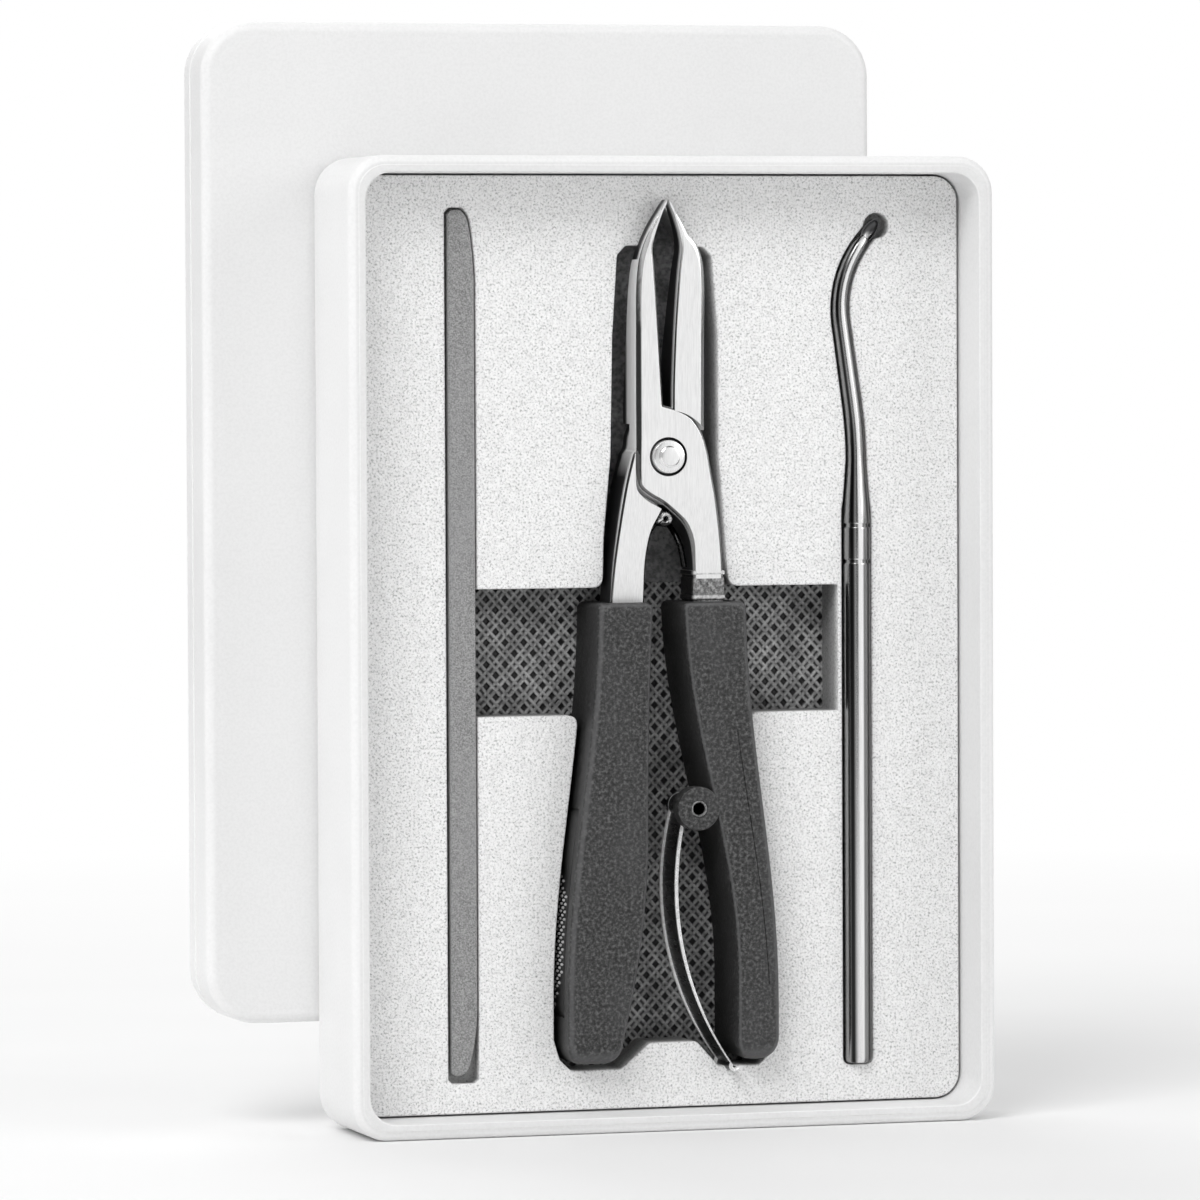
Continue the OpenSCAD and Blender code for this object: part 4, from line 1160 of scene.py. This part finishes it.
def make_grip(name, side, body, node, material):
    """Grip pad with staggered rows of round dots."""
    bm = bmesh.new()
    low, top = handle_end - 7, handle_end - 38
    depths = [top + (low - top) * i / 20 for i in range(21)]
    rings = []
    for d in depths:
        ends = 0.35 if d in (depths[0], depths[-1]) else 0
        x0, x1 = outer_x(d) - 1.3, outer_x(d) + 0.02 - ends
        rings.append([(x, y, -d) for x, y in section(x0, x1, -3.5, 3.5, 0.35, 0.2, crown=0.0)])
    loft(bm, rings)
    rise, wide_pitch, row_pitch = 0.27, 2.2, 0.56
    first, last = top + 8.6, low - 0.8
    plain_faces = len(bm.faces)
    for i in range(int((last - first) / row_pitch) + 1):
        d = first + i * row_pitch
        front = -2.9 + 5 * max(0, 1 - (d - first) / 4.5) + 4.5 * max(0, 1 - (last - d) / 6.5)
        for k in (-2, -1, 0, 1, 2):
            y = (k + 0.5 * (i % 2)) * wide_pitch
            if abs(y) > 2.9 or y < front:
                continue
            x = outer_x(d) - 0.02
            dome = ((1, 0), (0.82, 0.62 * rise), (0.4, 0.95 * rise))
            dot = [[(x + up, y + 0.56 * wide * math.cos(math.pi / 4 * q), -d + 0.25 * wide * math.sin(math.pi / 4 * q))
                    for q in range(8)] for wide, up in dome]
            loft(bm, dot)
    placed(bm, side)
    pad = finished(new_object(name, bm), body, material[0], [node], sharp=60, weighted=False)
    pad.data.materials.append(material[1])
    for face in pad.data.polygons:
        face.material_index = 0 if face.index < plain_faces else 1


def make_latch(material):
    """Bowed strip with rounded edges, its eye round the pin and a curled end."""
    eye_in, eye_out = 1.34, 1.94
    bow_z = boss_z - 0.317 * (handle_end + boss_z)
    low = handle_end + 0.9 + bow_z
    bow_r = (low * low + 8.6 * 8.6) / (2 * 8.6)
    bow_x = boss_x - eye_out + 0.3 + bow_r - 1.3
    start, end = math.asin((boss_z - bow_z) / bow_r), -math.asin(low / bow_r)
    angles = [start + (end - start) * i / 48 for i in range(49)]
    middle = [(bow_x - (bow_r - 0.3) * math.cos(a), bow_z + (bow_r - 0.3) * math.sin(a), -math.sin(a), math.cos(a))
              for a in angles]
    x, z, tx, tz = middle[-1]
    lean = math.atan2(-tx, tz)
    curl_r = 0.55
    for i in range(1, 9):
        a = lean + math.radians(24 * i)
        middle.append((x + curl_r * (math.cos(lean) - math.cos(a)), z + curl_r * (math.sin(lean) - math.sin(a)),
                       -math.sin(a), math.cos(a)))
    flat = [(-0.3, -3.25), (-0.24, -3.37), (-0.14, -3.4), (0.0, -3.26), (0.14, -3.4), (0.24, -3.37), (0.3, -3.25),
            (0.3, 3.25), (0.24, 3.37), (0.14, 3.4), (-0.6, 3.4), (-0.7, 3.34), (-0.7, 3.12), (-0.62, 3.02),
            (-0.3, 2.96)]
    bm = bmesh.new()
    loft(bm, [[(x + tz * across, y, z - tx * across) for across, y in flat] for x, z, tx, tz in middle])
    edge = [(eye_in, -3.2), (eye_in + 0.15, -3.4), (eye_out - 0.15, -3.4), (eye_out, -3.2), (eye_out, 3.2),
            (eye_out - 0.15, 3.4), (eye_in + 0.15, 3.4), (eye_in, 3.2), (eye_in, -3.2)]
    lathe(bm, edge, (boss_x, 0, boss_z), count=36)
    bm.transform(Matrix.Translation((pivot_x, nip_y, pivot_z)))
    finished(new_object("latch_strip", bm), "latch", material, ["lock_latch"], sharp=40)


def make_latch_pin(material):
    half = handle_t / 2
    bm = bmesh.new()
    lathe(bm, [(0.9, -half + 0.12), (1.0, -half), (1.2, -half), (1.3, -half + 0.12), (1.3, half - 0.12),
               (1.2, half), (1.0, half), (0.9, half - 0.12), (0.9, -half + 0.12)], (boss_x, 0, boss_z), count=32)
    bm.transform(Matrix.Translation((pivot_x, nip_y, pivot_z)))
    finished(new_object("latch_tube", bm), "right_arm", material, ["latch_pin"])


def make_spring(material):
    """Coil in the crotch with a leg down each shank, one wire."""
    turns, pitch, coil_r, drop, wire = 5.5, 0.9, 0.78, 9.3, 0.44
    half = turns * pitch / 2
    steps = int(turns * 16)
    coil = []
    for i in range(steps + 1):
        a = math.pi - 2 * math.pi * i / 16
        coil.append((coil_r * math.cos(a), -half + pitch * i / 16, -drop + coil_r * math.sin(a)))
    leg = [(-3.2, 1.2, -16.6), (-3.0, 1.0, -15), (-2.75, 0.7, -13.4), (-2.3, 0.0, -11.9),
           (-1.6, -0.9, -10.4), (-1.1, -half + 0.1, -9.6)]
    other = [(-x, -y, z) for x, y, z in leg[::-1]]
    path = leg + coil + other
    bm = bmesh.new()
    tube(bm, path, [wire] * len(path), count=10)
    bm.transform(Matrix.Translation((pivot_x, nip_y, pivot_z)))
    finished(new_object("spring_wire", bm), "nipper_pivot", material, ["return_spring"])


# File and spoon


def make_file(material):
    bm = bmesh.new()
    plate(bm, file_outline(), file_low[1], file_high[1], 0.28, steps=3)
    finished(new_object("file_blade", bm), "file", material, ["nail_file"])


def make_spoon(material):
    centre = (tool_x, spoon_y, 0)
    low, mouth, top = rod_low[2], collar_low[2], collar_high[2]
    r, neck = 2.1, 1.85
    bm = bmesh.new()
    lathe(bm, [(1.5, low), (1.85, low + 0.12), (2.06, low + 0.4), (r, low + 0.8), (r, mouth - 0.25),
               (r - 0.1, mouth)], centre, axis="z", count=40)
    finished(new_object("spoon_rod", bm), "spoon", material, ["spoon_handle"])
    bm = bmesh.new()
    lathe(bm, [(neck, mouth), (neck, mouth + 0.5), (r - 0.08, mouth + 0.52), (r, mouth + 0.7),
               (r, top - 0.7), (r - 0.08, top - 0.52), (neck, top - 0.5), (neck, top)],
          centre, axis="z", count=40)
    finished(new_object("spoon_ring", bm), "spoon", material, ["spoon_collar"])
    bm = bmesh.new()
    path = spoon_path()
    path = [(tool_x, top, 1.95), (tool_x, top + 0.2, 2.1)] + path[1:-1]
    (ax, az, _), (x, z, r) = path[-2:]
    path[-1] = (x, z, r * 0.84)
    path.append((x + (x - ax) * 0.35, z + (z - az) * 0.35, r * 0.62))
    tube(bm, [(x, spoon_y, z) for x, z, _ in path], [p[2] for p in path], count=28)
    x, z, _ = path[-2]
    along_bowl = Vector((x - ax, 0, z - az)).normalized()
    mouth_way = (Vector((along_bowl.z, 0, -along_bowl.x)) * 0.5 + Vector((0, -1, 0))).normalized()
    across = along_bowl.cross(mouth_way)
    long, wide, deep, thick = 2.15, 1.3, 1.15, 0.22
    centre = Vector((x, spoon_y - 0.2, z)) + along_bowl * (long - 0.45)
    turns = [math.radians(v) for v in (88, 75, 60, 45, 30, 15, 0)]
    rows = [(long, wide, deep, a) for a in turns]
    rows += [(long - thick, wide - thick, deep - thick, a) for a in turns[::-1]]
    rings = []
    for length, width, depth, a in rows:
        c, s = math.cos(a), math.sin(a)
        rings.append([centre + along_bowl * (length * c * math.cos(math.pi * k / 16))
                      + across * (width * c * math.sin(math.pi * k / 16)) - mouth_way * (depth * s)
                      for k in range(32)])
    loft(bm, rings)
    finished(new_object("spoon_scoop", bm), "spoon", material, ["spoon_tip"], sharp=50)


# Studio


def lamp(name, place, aim, size, power, size_y=None):
    data = bpy.data.lights.new(name, "AREA")
    data.shape = "RECTANGLE"
    data.size = size
    data.size_y = size_y or size
    data.energy = power
    obj = bpy.data.objects.new(name, data)
    obj.location = place
    obj.rotation_euler = (Vector(aim) - Vector(place)).to_track_quat("-Z", "Y").to_euler()
    bpy.context.scene.collection.objects.link(obj)


def make_world():
    world = bpy.data.worlds.new("studio")
    world.use_nodes = True
    bpy.context.scene.world = world
    tree = world.node_tree
    tree.nodes.clear()
    out = tree.nodes.new("ShaderNodeOutputWorld")
    mix = tree.nodes.new("ShaderNodeMixShader")
    path = tree.nodes.new("ShaderNodeLightPath")
    room = tree.nodes.new("ShaderNodeBackground")
    white = tree.nodes.new("ShaderNodeBackground")
    white.inputs["Strength"].default_value = 1.0
    white.inputs["Color"].default_value = (1, 1, 1, 1)
    links = tree.links
    place = tree.nodes.new("ShaderNodeTexCoord")
    parts = tree.nodes.new("ShaderNodeSeparateXYZ")
    links.new(place.outputs["Generated"], parts.inputs[0])

    def graded(source, stops):
        ramp = tree.nodes.new("ShaderNodeValToRGB")
        set_ramp(ramp.color_ramp, stops)
        links.new(source, ramp.inputs["Fac"])
        return ramp.outputs["Color"]

    def maths(operation, a, b=0.0):
        made = tree.nodes.new("ShaderNodeMath")
        made.operation = operation
        for socket, value in zip(made.inputs, (a, b)):
            if isinstance(value, bpy.types.NodeSocket):
                links.new(value, socket)
            else:
                socket.default_value = value
        return made.outputs[0]

    height = maths("MULTIPLY_ADD", parts.outputs["Z"], 0.5)
    height.node.inputs[2].default_value = 0.5
    links.new(graded(height, [(0.0, 0.5), (0.3, 0.25), (0.5, 0.75), (0.72, 0.9), (1.0, 1.0)]), room.inputs["Color"])
    room.inputs["Strength"].default_value = room_light

    across = maths("MULTIPLY_ADD", parts.outputs["X"], 0.5)
    across.node.inputs[2].default_value = 0.5
    sides = graded(across, [(0.0, 0.08), (0.12, 0.1), (0.2, 0.55), (0.3, 0.5), (0.36, 0.07), (0.48, 0.07), (0.54, 1.0),
                            (0.9, 1.0), (0.97, 0.3)])
    above = graded(height, [(0.0, 0.7), (0.3, 0.4), (0.42, 0.0), (0.72, 0.0), (0.86, 1.0)])
    studio = tree.nodes.new("ShaderNodeBackground")
    links.new(maths("MAXIMUM", sides, above), studio.inputs["Color"])
    studio.inputs["Strength"].default_value = 1.0

    shiny = tree.nodes.new("ShaderNodeMixShader")
    links.new(path.outputs["Is Glossy Ray"], shiny.inputs["Fac"])
    links.new(room.outputs[0], shiny.inputs[1])
    links.new(studio.outputs[0], shiny.inputs[2])
    seen = maths("MAXIMUM", path.outputs["Is Camera Ray"], path.outputs["Is Transmission Ray"])
    links.new(seen, mix.inputs["Fac"])
    links.new(shiny.outputs[0], mix.inputs[1])
    links.new(white.outputs[0], mix.inputs[2])
    links.new(mix.outputs[0], out.inputs["Surface"])


def make_floor():
    """Pale floor that fades to plain white away from the object."""
    bm = bmesh.new()
    bmesh.ops.create_grid(bm, x_segments=1, y_segments=1, size=750)
    floor = new_object("floor", bm)
    p = Paint("floor").set(Roughness=0.7, Specular_IOR_Level=0.2)
    p.bsdf.inputs["Base Color"].default_value = (0.9, 0.9, 0.9, 1)
    p.link(p.ramp(p.noise(120, detail=2), [(0.3, 0.88), (0.7, 0.92)]), "Base Color")
    glow = p.node("ShaderNodeEmission", {"Color": (1, 1, 1, 1), "Strength": 1.0})
    distance = p.node("ShaderNodeVectorMath", {0: p.place}, operation="LENGTH").outputs["Value"]
    far = p.node("ShaderNodeMapRange", {"Value": distance, "From Min": 0.1, "From Max": 0.6})
    path = p.node("ShaderNodeLightPath").outputs
    seen = p.math("MAXIMUM", path["Is Camera Ray"], p.math("MAXIMUM", path["Is Glossy Ray"],
                                                           path["Is Transmission Ray"]))
    share = p.math("MULTIPLY", far.outputs[0], seen)
    mix = p.node("ShaderNodeMixShader", {0: share})
    out = p.tree.nodes["Material Output"]
    p.tree.links.new(p.bsdf.outputs[0], mix.inputs[1])
    p.tree.links.new(glow.outputs[0], mix.inputs[2])
    p.tree.links.new(mix.outputs[0], out.inputs["Surface"])
    floor.data.materials.append(p.mat)


def make_camera():
    """Camera at the photograph's angle: left of the case and a little above its middle."""
    yaw, pitch, roll = math.radians(16.56), math.radians(-2.05), math.radians(-0.26)
    forward = Vector((math.sin(yaw) * math.cos(pitch), math.cos(yaw) * math.cos(pitch), math.sin(pitch)))
    right = Vector((math.cos(yaw), -math.sin(yaw), 0))
    up = right.cross(forward)
    side = right * math.cos(roll) + up * math.sin(roll)
    top = up * math.cos(roll) - right * math.sin(roll)
    data = bpy.data.cameras.new("camera")
    data.sensor_width = 36
    data.sensor_fit = "HORIZONTAL"
    data.lens = 7407.4 / 1200 * 36
    obj = bpy.data.objects.new("camera", data)
    obj.matrix_world = Matrix.Translation((-0.3241, -1.0604, 0.1185)) @ Matrix(
        (side, top, -forward)).transposed().to_4x4()
    bpy.context.scene.collection.objects.link(obj)
    bpy.context.scene.camera = obj


bpy.context.scene.view_settings.view_transform = "Standard"
room_light = 0.56
make_camera()
make_world()
make_floor()
lamp("key", (-0.9, -1.0, 1.3), (0, 0, 0.08), 0.9, 16)
lamp("fill", (1.2, -0.9, 0.6), (0, 0, 0.08), 0.9, 5)
lamp("back", (-0.2, 1.1, 1.0), (0, 0, 0.08), 0.9, 4.5)
lamp("side", (-1.5, 0.2, 0.45), (0, 0, 0.08), 0.9, 3.2)

# The last number of each plastic is the greyer tone painted as shade on its faces turned to the front and back.
case_white = frosted_plastic("case_plastic", 0.83, 0.87, 0.78)
lid_white = frosted_plastic("lid_plastic", 0.83, 0.87, 0.83)
# bevel=0.2 is the darker tone painted on the bevels as painted reflection lines
forged = steel("nipper_steel", 0.84, 0.3, 0.14, bevel=0.2, diffuse=0.38)
polished = spoon_material()
latch_steel = latch_material()
wire_steel = wire_material()
black = handle_material()
# grip_dots: the dots are painted light grey on the black rubber as painted highlights
rubber = [rubber_material("grip_rubber", 0.004, 0.012), rubber_material("grip_dots", 0.3, 0.5)]

make_tray(case_white)
make_lid(lid_white)
make_foam(foam_material())
make_lattice(lattice_material())
make_levers(forged)
make_shoulder(cast_material())
make_rivet(forged)
make_handles(black)
make_grip("left_grip_dots", -1, "left_arm", "left_grip_pad", rubber)
make_grip("right_grip_dots", 1, "right_arm", "right_grip_pad", rubber)
make_latch(latch_steel)
make_latch_pin(tube_material())
make_spring(wire_steel)
make_file(file_material())
make_spoon(polished)

board = frame["nodes"]["backing_pad"]
board.data.materials.clear()
board.data.materials.append(board_material())
